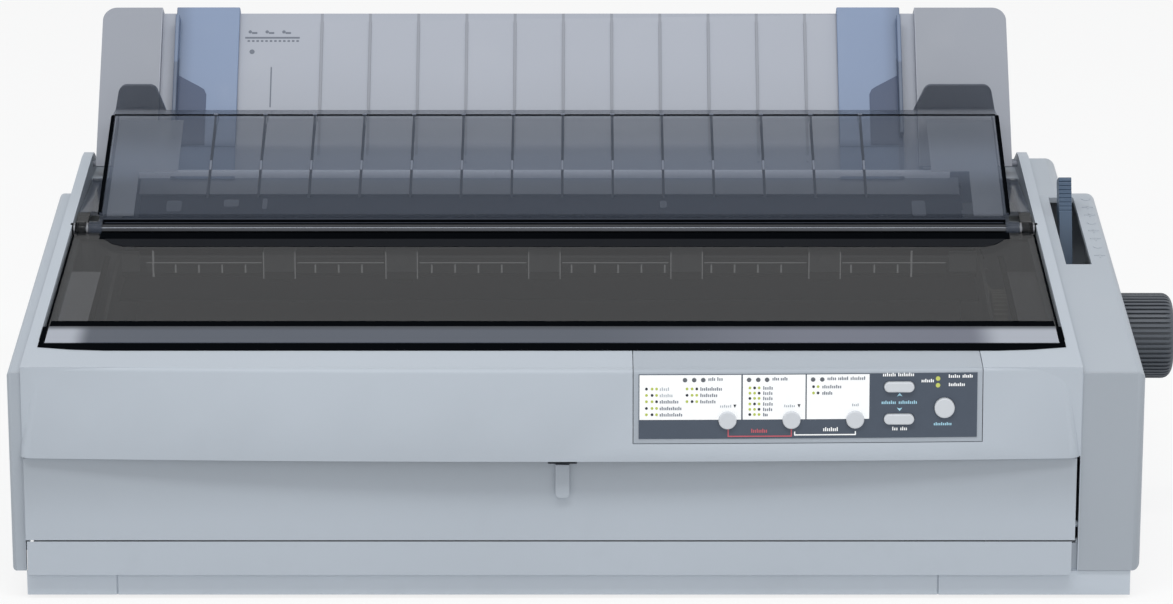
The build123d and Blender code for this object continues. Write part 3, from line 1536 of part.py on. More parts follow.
def make_ribbon_cartridge():
    """Ribbon cartridge across the machine, with arms, lugs and the ribbon."""
    x = (frame_left_face + cartridge_margin, frame_right_face - cartridge_margin)
    ribbon_y = platen_y - platen_radius - ribbon_gap
    z = (cartridge_bottom_z, cartridge_top_z)
    with BuildPart() as cartridge:
        block(x, (cartridge_front_y, cartridge_back_y), z)
        for arm in ((x[0], x[0] + cartridge_arm), (x[1] - cartridge_arm, x[1])):
            block(arm, (cartridge_back_y - 1, ribbon_y + 1.2), (z[0] + 5, z[1]))
        for lug in ((frame_left_face, x[0] + 1), (x[1] - 1, frame_right_face)):
            block(lug, (cartridge_front_y + 2, cartridge_front_y + 12), (z[0] + 2, z[0] + 10))
        middle = (cartridge_bottom_z + cartridge_top_z) / 2 + 2
        ribbon = (middle - ribbon_height / 2, middle + ribbon_height / 2)
        ribbon_x = (x[0] + cartridge_arm - 1, x[1] - cartridge_arm + 1)
        block(ribbon_x, (ribbon_y, ribbon_y + ribbon_thick), ribbon)
        knob_x, knob_y = ribbon_knob_place()
        rod_along_z(knob_x, knob_y, (z[1] - 8, z[1] + 1), stud_radius + running_gap, Mode.SUBTRACT)
    save(cartridge, "ribbon_cartridge")

    with BuildPart() as knob:
        disc_z = (z[1] + seat_gap, z[1] + seat_gap + ribbon_knob_height)
        rod_along_z(knob_x, knob_y, disc_z, ribbon_knob_radius)
        rod_along_z(knob_x, knob_y, (z[1] - 7, z[1] + 1), stud_radius)
        block(
            (knob_x - ribbon_knob_radius + 1, knob_x + ribbon_knob_radius - 1),
            (knob_y - 1.2, knob_y + 1.2),
            (z[1] + ribbon_knob_height, z[1] + ribbon_knob_height + 2.0),
        )
    save(knob, "ribbon_knob")


def ribbon_knob_place():
    """Centre of the knob that winds the ribbon."""
    return frame_left_face + cartridge_margin + 30.0, (cartridge_front_y + cartridge_back_y) / 2 + 4.0


# ------------------------------------------------------------------ paper path


def make_tension_unit():
    """Paper tension unit: a bar with five roller boxes, and the rollers on one shaft."""
    top = tension_z + tension_bar_height / 2
    axis_z = tension_z - tension_roller_drop
    with BuildPart() as unit:
        block(
            (frame_left_face, frame_right_face),
            (tension_y - tension_bar_depth / 2, tension_y + tension_bar_depth / 2),
            (top - tension_bar_height, top),
        )
        for place in tension_box_places:
            x = frame_left_face + place
            half = tension_box_width / 2
            deep = tension_box_depth / 2
            block((x - half, x + half), (tension_y - deep, tension_y + deep), (axis_z - 1.0, top + 3.0))
            block(
                (x - half + 2, x + half - 2),
                (tension_y - tension_roller_radius - 0.5, tension_y + tension_roller_radius + 0.5),
                (axis_z - 3, axis_z + tension_roller_radius + 0.5),
                Mode.SUBTRACT,
            )
        across = (frame_left_face + 1, frame_right_face - 1)
        rod_along_x(across, tension_y, axis_z, tension_shaft_radius + running_gap, Mode.SUBTRACT)
    save(unit, "tension_unit")

    shaft_span = (left_frame_x - 1.5, frame_right_face + sheet + 1.5)
    with BuildPart() as rollers:
        rod_along_x(shaft_span, tension_y, axis_z, tension_shaft_radius)
        for place in tension_box_places:
            x = frame_left_face + place
            half = tension_box_width / 2 - 2.5
            rod_along_x((x - half, x + half), tension_y, axis_z, tension_roller_radius)
    save(rollers, "tension_rollers")


def make_tractor(side, x):
    """One tractor on the two shafts, with pins on top and a hinged door."""
    span = (x - tractor_width / 2, x + tractor_width / 2)
    y = (tractor_y - 12.0, tractor_y - 12.0 + tractor_length)
    z = (tractor_z - tractor_height / 2, tractor_z + tractor_height / 2)
    bore = square_shaft / 2 * 2**0.5 + square_bore_gap
    outer = span[0] if side == "left" else span[1]
    inward = 1 if side == "left" else -1
    through = (span[0] - 1, span[1] + 1)
    with BuildPart() as tractor:
        block(span, y, z)
        fillet(tractor.edges().filter_by(Axis.X), radius=8.0)
        rod_along_x(through, tractor_y, tractor_z, bore, Mode.SUBTRACT)
        rod_along_x(through, support_y, tractor_z, support_shaft_radius + running_gap, Mode.SUBTRACT)
        hinge_x = outer - inward * 1.6
        for lug_y in ((y[0] + 9, y[0] + 13), (y[1] - 13, y[1] - 9)):
            block((min(outer, hinge_x), max(outer, hinge_x)), lug_y, (z[1] - 4, z[1] - 0.5))
            rod_along_y(hinge_x, lug_y, z[1] + 0.5, 2.2)
            rod_along_y(hinge_x, (lug_y[0] - 1, lug_y[1] + 1), z[1] + 0.5, 1.0 + running_gap, Mode.SUBTRACT)
    save(tractor, f"tractor_{side}")

    with BuildPart() as door:
        far = outer + inward * (tractor_width - 2.0)
        near = outer + inward * 1.2
        lift = z[1] + seat_gap
        block((min(near, far), max(near, far)), (y[0] + 8, y[1] - 8), (lift, lift + tractor_door_thick))
        slot = (outer + inward * 9.0, outer + inward * 14.0)
        slot_z = (lift - 1, lift + tractor_door_thick + 1)
        block((min(slot), max(slot)), (y[0] + 11, y[1] - 11), slot_z, Mode.SUBTRACT)
        rod_along_y(hinge_x, (y[0] + 8.5, y[1] - 8.5), z[1] + 0.5, 1.0)
        tongue = (y[0] + 13.4, y[1] - 13.4)
        block((min(near, hinge_x), max(near, hinge_x)), tongue, (lift, lift + tractor_door_thick))
    save(door, f"tractor_door_{side}")


def make_chute():
    """Bent sheet that leads single sheets from the guide to the platen."""
    with BuildPart() as chute:
        side_prism(
            (
                (chute_top_y, chute_top_z),
                (chute_bend_y, chute_bend_z),
                (chute_end_y, chute_end_z),
                (chute_end_y, chute_end_z - chute_thick),
                (chute_bend_y, chute_bend_z - chute_thick),
                (chute_top_y, chute_top_z - chute_thick),
            ),
            (frame_left_face, frame_right_face),
        )
        back = (chute_top_y - 4.0, chute_top_y)
        block((frame_left_face, frame_right_face), back, (chute_top_z - 4.0, chute_top_z))
        for x in (frame_left_face, frame_right_face - sheet):
            tab_y = (chute_bend_y + 10, chute_bend_y + 34)
            block((x, x + sheet), tab_y, (tractor_z + 12, chute_bend_z + 6))
    save(chute, "paper_chute")


# ------------------------------------------------------------------ release lever


def make_release_lever():
    """Paper release lever with its grooved grip, and the bracket it turns on."""
    left_x = (slot_left_x + slot_right_x - lever_width) / 2 - 0.4
    x = (left_x, left_x + lever_width)
    rise = hypot(lever_top_y - lever_y, lever_top_z - lever_z)
    lean = atan2(lever_top_y - lever_y, lever_top_z - lever_z)
    side = Plane(origin=(x[0], lever_y, lever_z), x_dir=(0, cos(lean), -sin(lean)), z_dir=(1, 0, 0))
    half = lever_depth / 2
    with BuildPart() as lever:
        with BuildSketch(side) as outline:
            Circle(lever_hub_radius)
            with BuildLine():
                Polyline((-half * 0.7, 0), (half * 0.7, 0), (half, rise), (-half, rise), close=True)
            make_face()
            fillet(outline.vertices().group_by(Axis.Y)[-1], radius=1.5)
            for step in range(lever_grooves):
                with Locations((-half, rise - 3.0 - step * lever_groove_pitch)):
                    Circle(0.7, mode=Mode.SUBTRACT)
        extrude(outline.sketch, amount=x[1] - x[0])
        rod_along_x((x[0] - 1, x[1] + 1), lever_y, lever_z, lever_pin_radius + running_gap, Mode.SUBTRACT)
    save(lever, "release_lever")

    plate = (lever_bracket_x, lever_bracket_x + sheet)
    with BuildPart() as bracket:
        y = (lever_y - lever_bracket_half, lever_y + lever_bracket_half)
        block(plate, y, (floor_top_z, lever_z + 14.0))
        block((plate[0] - 12.0, plate[1]), y, (floor_top_z, floor_top_z + sheet))
        rod_along_x((plate[0] + 0.5, case_right_x - wall - 1.0), lever_y, lever_z, lever_pin_radius)
        collar = (plate[1] - 0.5, x[0] - seat_gap)
        rod_along_x(collar, lever_y, lever_z, lever_pin_radius + 2.0)
    save(bracket, "lever_bracket")


# ------------------------------------------------------------------ electronics


def make_electronics():
    """Main board, power supply, inlet, ports and the screws at the back."""
    rear = electronics_back_y
    with BuildPart() as supply:
        x = (supply_left_x, supply_left_x + supply_width)
        block(x, (rear - supply_depth, rear), (floor_top_z, floor_top_z + supply_height))
        tray = (floor_top_z + 8, floor_top_z + supply_height + 1)
        block((x[0] + 2, x[1] - 2), (rear - supply_depth + 2, rear - 2), tray, Mode.SUBTRACT)
        for step in range(4):
            part_x = x[0] + 14 + step * 26
            part_z = (floor_top_z + 7, floor_top_z + 22 + 3 * step)
            block((part_x, part_x + 16), (rear - supply_depth + 16, rear - 20), part_z)
    save(supply, "power_supply")

    board_x = (board_left_x, board_left_x + board_width)
    board_y = (rear - board_length, rear)
    board_z = floor_top_z + board_lift
    with BuildPart() as board:
        block(board_x, board_y, (board_z, board_z + board_thick))
        for x in (board_x[0] + 5, board_x[1] - 5):
            for y in (board_y[0] + 5, board_y[1] - 5):
                rod_along_z(x, y, (floor_top_z, board_z + 0.5), 2.5)
        for column in range(5):
            for row in range(3):
                chip_x = board_x[0] + 18 + column * 42
                chip_y = board_y[0] + 18 + row * 40
                chip_z = (board_z + 1, board_z + board_thick + 3.5)
                block((chip_x, chip_x + 24), (chip_y, chip_y + 14), chip_z)
    save(board, "main_board")

    inlet_y = (case_back_y - inlet_depth, case_back_y)
    inlet_span = (inlet_x - inlet_width / 2, inlet_x + inlet_width / 2)
    with BuildPart() as inlet:
        block(inlet_span, inlet_y, (inlet_z, inlet_z + inlet_height))
        hollow_x = (inlet_span[0] + 2.5, inlet_span[1] - 2.5)
        hollow_z = (inlet_z + 2.5, inlet_z + inlet_height - 2.5)
        block(hollow_x, (inlet_y[0] + 4, inlet_y[1] + 1), hollow_z, Mode.SUBTRACT)
        for x, z in ((inlet_x - 6, inlet_z + 8), (inlet_x + 6, inlet_z + 8), (inlet_x, inlet_z + 12)):
            block((x - 1.1, x + 1.1), (inlet_y[0] + 3, inlet_y[1] - 3), (z - 2, z + 2))
    save(inlet, "ac_inlet")

    with BuildPart() as ports:
        for place, width, height in zip(port_places, port_widths, port_heights):
            span = (place - width / 2, place + width / 2)
            y = (case_back_y - port_depth, case_back_y)
            block(span, y, (port_z, port_z + height))
            hollow_z = (port_z + 2, port_z + height - 2)
            block((span[0] + 2, span[1] - 2), (y[1] - 6, y[1] + 1), hollow_z, Mode.SUBTRACT)
            tongue = (port_z + height / 2 - 1, port_z + height / 2 + 1)
            block((span[0] + 4, span[1] - 4), (y[1] - 7, y[1] - 1.5), tongue)
            block((span[0] + 1, span[1] - 1), (rear - 8, y[0] + 1), (board_z + board_thick, port_z + 4))
    save(ports, "interface_ports")

    with BuildPart() as screws:
        for up in screw_rows:
            for x in screw_columns:
                rod_along_y(x, (case_back_y - screw_length, case_back_y + 0.1), up, screw_radius)
                rod_along_y(x, (case_back_y, case_back_y + screw_head_height), up, screw_head_radius)
    save(screws, "housing_screws")


def main():
    """Make every piece and write its file."""
    os.makedirs("parts", exist_ok=True)
    shell = housing_shell()
    make_upper_housing(shell)
    make_panel(shell)
    make_power_switch()
    make_hinge_rod()
    make_printer_cover()
    make_guide_cover()
    make_paper_guide()
    make_edge_guide("edge_guide_left", edge_guide_left_x)
    make_edge_guide("edge_guide_right", edge_guide_right_x)
    make_front_cover()
    make_front_sill()
    make_lower_housing()
    make_feet()
    make_base_frame()
    make_side_frames()
    make_gap_lever()
    make_platen()
    make_feed_train()
    make_tractor_shafts()
    make_carriage()
    make_carriage_drive()
    make_ribbon_cartridge()
    make_tension_unit()
    make_tractor("left", frame_left_face + tractor_left_place)
    make_tractor("right", frame_right_face - tractor_right_place)
    make_chute()
    make_release_lever()
    make_electronics()


main()
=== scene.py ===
"""Looks of a wide-carriage dot matrix printer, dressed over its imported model. Lengths are in millimetres until they reach a mesh."""
import math

import bmesh
import bpy
from mathutils import Matrix, Vector


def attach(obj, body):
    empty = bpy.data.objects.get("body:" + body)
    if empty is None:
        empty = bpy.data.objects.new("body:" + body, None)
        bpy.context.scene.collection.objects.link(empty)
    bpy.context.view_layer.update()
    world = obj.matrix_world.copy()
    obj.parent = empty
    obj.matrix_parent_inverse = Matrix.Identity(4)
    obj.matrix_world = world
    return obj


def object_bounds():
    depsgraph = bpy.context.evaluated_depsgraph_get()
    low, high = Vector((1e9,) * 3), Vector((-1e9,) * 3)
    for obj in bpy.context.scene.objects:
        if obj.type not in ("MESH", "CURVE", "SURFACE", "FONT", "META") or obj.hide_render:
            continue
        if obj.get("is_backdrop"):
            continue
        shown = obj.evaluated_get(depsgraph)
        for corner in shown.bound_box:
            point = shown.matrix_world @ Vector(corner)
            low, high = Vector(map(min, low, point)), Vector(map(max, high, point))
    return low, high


MM = 0.001
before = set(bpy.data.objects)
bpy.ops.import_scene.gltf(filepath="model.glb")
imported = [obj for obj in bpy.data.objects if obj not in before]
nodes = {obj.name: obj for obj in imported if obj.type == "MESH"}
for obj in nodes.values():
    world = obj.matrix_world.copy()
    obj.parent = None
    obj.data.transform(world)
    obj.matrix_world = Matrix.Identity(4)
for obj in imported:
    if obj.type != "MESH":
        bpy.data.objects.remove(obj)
cad_low, cad_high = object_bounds()


# ---------------------------------------------------------------- shader maths


class Shade:
    """A shader socket that takes part in plain arithmetic."""

    def __init__(self, finish, socket):
        self.finish = finish
        self.socket = socket

    def _math(self, operation, *values):
        return self.finish.add("Math", {"operation": operation}, dict(enumerate(values)))

    def __add__(self, other):
        return self._math("ADD", self, other)

    def __radd__(self, other):
        return self._math("ADD", other, self)

    def __sub__(self, other):
        return self._math("SUBTRACT", self, other)

    def __rsub__(self, other):
        return self._math("SUBTRACT", other, self)

    def __mul__(self, other):
        return self._math("MULTIPLY", self, other)

    def __rmul__(self, other):
        return self._math("MULTIPLY", other, self)

    def __truediv__(self, other):
        return self._math("DIVIDE", self, other)

    def __gt__(self, other):
        return self._math("GREATER_THAN", self, other)

    def __lt__(self, other):
        return self._math("LESS_THAN", self, other)

    def __abs__(self):
        return self._math("ABSOLUTE", self)

    def fraction(self):
        return self._math("FRACT", self)

    def sine(self):
        return self._math("SINE", self)

    def power(self, exponent):
        return self._math("POWER", self, exponent)

    def limit(self, low, high):
        """1 above high, 0 below low, smooth between."""
        return self.finish.add(
            "MapRange",
            {"interpolation_type": "SMOOTHSTEP"},
            {"Value": self, "From Min": low, "From Max": high},
        )


class Finish:
    """A material that is being made: one surface shader and the nodes that feed it."""

    def __init__(self, name):
        self.material = bpy.data.materials.new(name)
        self.material.use_nodes = True
        self.tree = self.material.node_tree
        self.tree.nodes.clear()
        self.position = self.add("TexCoord", out="Object")

    def add(self, kind, settings=None, sockets=None, out=0):
        """A node by its type, its settings, and the values or links of its sockets."""
        node = self.tree.nodes.new("ShaderNode" + kind)
        for key, value in (settings or {}).items():
            if key == "stops":
                ramp = node.color_ramp
                while len(ramp.elements) < len(value):
                    ramp.elements.new(0.5)
                for element, (place, colour) in zip(ramp.elements, value):
                    element.position = place
                    element.color = (*colour[:3], 1.0)
            else:
                setattr(node, key, value)
        for key, value in (sockets or {}).items():
            if isinstance(value, Shade):
                self.tree.links.new(value.socket, node.inputs[key])
            elif isinstance(value, (tuple, list)) and node.inputs[key].type == "RGBA":
                node.inputs[key].default_value = (*value[:3], 1.0)
            else:
                node.inputs[key].default_value = value
        return Shade(self, node.outputs[out]) if node.outputs else None

    def axes(self):
        """The three coordinates of the point, in metres."""
        split = self.add("SeparateXYZ", sockets={0: self.position})
        return [Shade(self, split.socket.node.outputs[i]) for i in range(3)]

    def stretched(self, scale):
        return self.add("Mapping", sockets={"Vector": self.position, "Scale": scale})

    def noise(self, scale, detail=2.0, rough=0.5, place=None):
        return self.add(
            "TexNoise",
            sockets={
                "Vector": place or self.position,
                "Scale": scale,
                "Detail": detail,
                "Roughness": rough,
            },
        )

    def blend(self, factor, first, second):
        """A colour between two others."""
        return self.add(
            "Mix",
            {"data_type": "RGBA"},
            {0: factor, 6: first, 7: second},
            out=2,
        )

    def bump(self, height, strength, distance):
        return self.add(
            "Bump",
            sockets={"Height": height, "Strength": strength, "Distance": distance},
        )

    def surface(self, **sockets):
        """The surface shader, with socket names written with underscores."""
        named = {key.replace("_", " "): value for key, value in sockets.items()}
        return self.add("BsdfPrincipled", sockets=named)

    def done(self, shader):
        self.add("OutputMaterial", sockets={"Surface": shader})
        return self.material


def srgb(code):
    """Linear colour of a hex code."""
    levels = [int(code[i : i + 2], 16) / 255 for i in (0, 2, 4)]
    return tuple(v / 12.92 if v <= 0.04045 else ((v + 0.055) / 1.055) ** 2.4 for v in levels)


def scaled(colour, factor):
    return tuple(min(1.0, v * factor) for v in colour)


# ---------------------------------------------------------------- finishes


def moulded(
    name, code, rough=0.48, grain=0.22, grain_size=2600.0, wear=0.05, spread=0.035, region=None
):
    """Spark-textured moulded plastic: fine grain, slow tone drift and handled patches.
    A region gives the places that come out darker, mostly as painted shade."""
    f = Finish(name)
    base = srgb(code)
    drift = f.noise(9.0, 3.0)
    fine = f.noise(grain_size, 1.0, 0.4)
    handled = f.noise(34.0, 4.0, 0.6).limit(0.52, 0.74)
    tone = f.blend(drift, scaled(base, 1 - spread), scaled(base, 1 + spread))
    tone = f.blend(handled * wear, tone, scaled(base, 0.72))
    if region:
        tone = f.blend(region(f, *f.axes()), tone, scaled(base, 0.45))
    shader = f.surface(
        Base_Color=tone,
        Roughness=rough + (fine - 0.5) * 0.16 + handled * -0.06,
        Normal=f.bump(fine, grain, 0.0001),
        Specular_IOR_Level=0.42,
    )
    return f.done(shader)


def smoked(name, code, alpha, rough=0.07, specular=0.18, region=None):
    """Smoked see-through plastic, with faint haze and hairline scuffs."""
    f = Finish(name)
    base = srgb(code)
    haze = f.noise(7.0, 2.0)
    hair = f.noise(420.0, 3.0, 0.7, f.stretched((0.05, 1.0, 1.0))).limit(0.62, 0.8)
    tone = f.blend(haze, scaled(base, 0.94), scaled(base, 1.08))
    veil = alpha + (haze - 0.5) * 0.02
    if region:
        # The region's veil also darkens the tone as painted shade, and its light makes the tone paler as painted
        # light.
        more, light = region(f, *f.axes())
        veil = veil + more
        tone = f.blend(more * 1.4, tone, scaled(base, 0.45))
        tone = f.blend(light, tone, scaled(base, 1.75))
    shader = f.surface(
        Base_Color=tone,
        Roughness=rough + haze * 0.04 + hair * 0.06,
        Alpha=veil,
        Specular_IOR_Level=specular,
    )
    return f.done(shader)


def steel(name, code, rough=0.34, along=(1.0, 60.0, 60.0), metallic=1.0):
    """Rolled or drawn metal with streaks along its length and a few dull spots."""
    f = Finish(name)
    base = srgb(code)
    streak = f.noise(22.0, 4.0, 0.65, f.stretched(along))
    spots = f.noise(60.0, 3.0, 0.6).limit(0.6, 0.75)
    shader = f.surface(
        Base_Color=f.blend(streak, scaled(base, 0.84), scaled(base, 1.08)),
        Metallic=metallic,
        Roughness=rough + (streak - 0.5) * 0.2 + spots * 0.08,
        Normal=f.bump(streak, 0.08, 0.0002),
    )
    return f.done(shader)


def spangled(name, code):
    """Galvanised sheet: flat crystals of slightly different tone."""
    f = Finish(name)
    base = srgb(code)
    crystal = f.add("TexVoronoi", sockets={"Vector": f.position, "Scale": 160.0}, out="Color")
    tone = f.add("RGBToBW", sockets={0: crystal})
    shader = f.surface(
        Base_Color=f.blend(tone, scaled(base, 0.78), scaled(base, 1.1)),
        Metallic=0.85,
        Roughness=0.3 + tone * 0.2,
    )
    return f.done(shader)


def rubbery(name, code, rough=0.72):
    """Ground rubber: matt, dusty, with a fine tooth."""
    f = Finish(name)
    base = srgb(code)
    fine = f.noise(1800.0, 2.0, 0.6)
    dust = f.noise(26.0, 4.0, 0.6).limit(0.5, 0.8)
    shader = f.surface(
        Base_Color=f.blend(dust * 0.5, base, scaled(base, 1.8)),
        Roughness=rough + (fine - 0.5) * 0.15,
        Normal=f.bump(fine, 0.3, 0.0001),
    )
    return f.done(shader)


def printed(name, code, rough=0.4, specular=0.3, glow=0.0):
    """Screen-printed ink and flat pieces of painted light and shade, with a slightly uneven film; its glow is painted
    light that makes it a little brighter.
    """
    f = Finish(name)
    base = srgb(code)
    film = f.noise(240.0, 2.0)
    shader = f.surface(
        Base_Color=f.blend(film, scaled(base, 0.95), scaled(base, 1.05)),
        Roughness=rough + film * 0.1,
        Specular_IOR_Level=specular,
        Emission_Color=base,
        Emission_Strength=glow,
    )
    return f.done(shader)


def circuit(name):
    """Green board with lighter tracks under the lacquer and tinned pads."""
    f = Finish(name)
    green = srgb("1f5a3a")
    x, y, z = f.axes()
    cell = f.add("TexVoronoi", {"distance": "MANHATTAN"}, {"Vector": f.position, "Scale": 130.0})
    track = ((x * 2400.0 + cell * 14.0).sine()).limit(0.55, 0.75)
    pad = 1.0 - cell.limit(0.12, 0.18)
    tone = f.blend(track * 0.6, green, srgb("3d8a5b"))
    shader = f.surface(
        Base_Color=f.blend(pad * 0.8, tone, srgb("b9b39a")),
        Metallic=pad * 0.6,
        Roughness=0.38 + track * 0.1,
    )
    return f.done(shader)


# ---------------------------------------------------------------- making pieces


def dress(names, material):
    """Give carried-over CAD nodes their finish."""
    for name in names:
        nodes[name].data.materials.clear()
        nodes[name].data.materials.append(material)


def piece(name, verts, faces, body, material, smooth=False, soften=0.0):
    """A mesh from millimetre points that rides on a body."""
    mesh = bpy.data.meshes.new(name)
    mesh.from_pydata([Vector(v) * MM for v in verts], [], faces)
    form = bmesh.new()
    form.from_mesh(mesh)
    bmesh.ops.remove_doubles(form, verts=form.verts, dist=1e-6)
    bmesh.ops.recalc_face_normals(form, faces=form.faces)
    if soften:
        sharp = [e for e in form.edges if len(e.link_faces) == 2 and e.calc_face_angle(0) > 0.5]
        bmesh.ops.bevel(
            form, geom=sharp, offset=soften * MM, segments=2, profile=0.6, affect="EDGES"
        )
    form.to_mesh(mesh)
    form.free()
    if smooth:
        mesh.shade_smooth()
    thing = bpy.data.objects.new(name, mesh)
    bpy.context.scene.collection.objects.link(thing)
    mesh.materials.append(material)
    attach(thing, body)
    return thing


class Pile:
    """Points and faces of many small shapes that end up in one piece."""

    def __init__(self):
        self.verts = []
        self.faces = []

    def hull(self, rings, closed=True):
        """Rings of equal length joined into a skin, with its two ends filled."""
        start = len(self.verts)
        count = len(rings[0])
        for ring in rings:
            self.verts.extend(ring)
        for level in range(len(rings) - 1):
            low = start + level * count
            for i in range(count):
                j = (i + 1) % count
                self.faces.append((low + i, low + j, low + count + j, low + count + i))
        if closed:
            self.faces.append(tuple(range(start + count - 1, start - 1, -1)))
            last = start + (len(rings) - 1) * count
            self.faces.append(tuple(range(last, last + count)))

    def block(self, x, y, z):
        """A box between two X, two Y and two Z values."""
        rings = []
        for up in z:
            rings.append([(x[0], y[0], up), (x[1], y[0], up), (x[1], y[1], up), (x[0], y[1], up)])
        self.hull(rings)

    def post(self, centre, axis, radius, ends, sides=20):
        """A round bar along an axis, with a radius or a radius for each end."""
        radii = radius if isinstance(radius, (tuple, list)) else [radius] * len(ends)
        rings = []
        for place, r in zip(ends, radii):
            ring = []
            for i in range(sides):
                a = math.tau * i / sides
                flat = (r * math.cos(a), r * math.sin(a))
                point = {
                    "x": (place, centre[0] + flat[0], centre[1] + flat[1]),
                    "y": (centre[0] + flat[0], place, centre[1] + flat[1]),
                    "z": (centre[0] + flat[0], centre[1] + flat[1], place),
                }[axis]
                ring.append(point)
            rings.append(ring)
        self.hull(rings)

    def bead(self, path, radius, sides=8, closed=False):
        """A round bead along a path of points."""
        rings = []
        points = [Vector(p) for p in path]
        for i, point in enumerate(points):
            ahead = points[min(i + 1, len(points) - 1)] - points[max(i - 1, 0)]
            ahead.normalize()
            side = ahead.cross(Vector((0, 0, 1)))
            if side.length < 0.1:
                side = ahead.cross(Vector((0, 1, 0)))
            side.normalize()
            up = side.cross(ahead)
            ring = []
            for j in range(sides):
                a = math.tau * j / sides
                ring.append(tuple(point + radius * (side * math.cos(a) + up * math.sin(a))))
            rings.append(ring)
        self.hull(rings, not closed)

    def plate(self, outline, place, thickness):
        """A flat outline of (a, b) points, put in space by a function of (a, b, depth)."""
        rings = [[place(a, b, depth) for a, b in outline] for depth in (0.0, thickness)]
        self.hull(rings)

    def make(self, name, body, material, slot=None, smooth=False, soften=0.0):
        return piece(name, self.verts, self.faces, body, material, smooth, soften)


def rounded(x, y, radius, steps=5):
    """Outline of a rectangle with rounded corners."""
    points = []
    corners = (
        (x[1] - radius, y[1] - radius, 0.0),
        (x[0] + radius, y[1] - radius, 0.25),
        (x[0] + radius, y[0] + radius, 0.5),
        (x[1] - radius, y[0] + radius, 0.75),
    )
    for cx, cy, turn in corners:
        for i in range(steps + 1):
            a = math.tau * (turn + 0.25 * i / steps)
            points.append((cx + radius * math.cos(a), cy + radius * math.sin(a)))
    return points


def disc(cx, cy, radius, sides=20):
    """Outline of a circle."""
    return [
        (cx + radius * math.cos(math.tau * i / sides), cy + radius * math.sin(math.tau * i / sides))
        for i in range(sides)
    ]


# ---------------------------------------------------------------- places, in millimetres

CASE_LEFT, CASE_RIGHT = -319.5, 289.0
OPEN_LEFT, OPEN_RIGHT = -306.0, 249.0
DECK_STEP = 2.8
HOOD_LEFT, HOOD_RIGHT = -291.0, 234.0
DECK_SLOPE = 0.1536
HOOD_SLOPE = 0.4765
GUIDE_LEAN = math.atan2(65.0, 84.4)


def cover_top(y):
    """Height of the front cover's upper face."""
    return 127.2 + (y + 190.0) * DECK_SLOPE


def pod_top(y):
    """Height of the right block's sloping top."""
    return 126.2 + (y + 190.0) * DECK_SLOPE


def hood_top(y):
    """Height of the hood's sloped face."""
    return 165.6 + (y - 16.5) * HOOD_SLOPE


def band_face(x, z):
    """Depth of the bowed and leaning front band."""
    rise = (z - 80.6) / 49.4
    left = -314.0 + rise * 6.4
    right = 255.0 - rise * 5.0
    half = (right - left) / 2
    radius = (half**2 + 49.0) / 14.0
    return -201.0 + rise * 5.0 + radius - math.sqrt(radius**2 - (x - (left + right) / 2) ** 2)


def on_panel(proud):
    """Places outlines in (x, z) on the panel's label."""
    return lambda x, z, depth: (x, band_face(x, z) - 0.4 - proud + depth, z)


def on_guide(depth):
    """Places outlines in (x, distance up the guide) on the guide's recessed face."""
    lean_y, lean_z = math.sin(GUIDE_LEAN), math.cos(GUIDE_LEAN)

    def place(x, up, sink):
        out = depth - sink
        return (x, 117.0 + up * lean_y - out * lean_z, 171.6 + up * lean_z + out * lean_y)

    return place


def on_slope(height, proud):
    """Places outlines in (x, y) on a sloping face given by its height."""
    return lambda x, y, depth: (x, y, height(y) + proud - depth)


# ---------------------------------------------------------------- finishes in use

def pod_painted_shade(f, x, y, z):
    """The two side blocks stand in less light, their fronts most of all."""
    sides = (x > 0.2555) + (x < -0.3123)
    return sides * (0.4 - y.limit(-0.1885, -0.1855) * 0.2) * (1.0 - (x < 0.0) * 0.25)


def flap_shade(f, x, y, z):
    """The band above throws a soft shade on the front cover."""
    return z.limit(0.040, 0.078) * 0.36


def shelf_shade(f, x, y, z):
    """Painted shade: the pale shelves fade towards the rod, and the right one is the duller."""
    return y.limit(-0.055, 0.0) * (y < 0.03) * 1.1 + (x > 0.0) * (y < 0.03) * 0.5


def fence_shade(f, x, y, z):
    """The edge guides are painted darker along their outer side, as painted shade of the fold, and darker at their
    rims below the gussets' top.
    """
    left = (x < 0.0) * (1.0 - x.limit(-0.2592, -0.2470))
    low = 1.0 - z.limit(0.2270, 0.2290)
    rim = (x < -0.2563) + (x > 0.1779)
    return (left + x.limit(0.1686, 0.1808)) * 0.5 + rim * low * 0.6


def guide_shade(f, x, y, z):
    """The side blocks are duller than the panel, and each rib has a dark foot of painted shade."""
    blocks = (x < -0.2681) + (x > 0.1899)
    ribs = rib_lines(x, -0.1709, 11, 0.0009) * (y > 0.1225) * (z > 0.176)
    return blocks * 0.42 + ribs * 0.5


def rib_lines(x, first, count, half):
    """1 within half of a rib's middle, for ribs 29.4 mm apart."""
    inside = (x > first - 0.005) * (x < first + 0.0294 * (count - 1) + 0.005)
    turns = (x - first + 0.0147) / 0.0294
    away = abs(turns.fraction() - 0.5) * 0.0294
    return inside * (away < half)


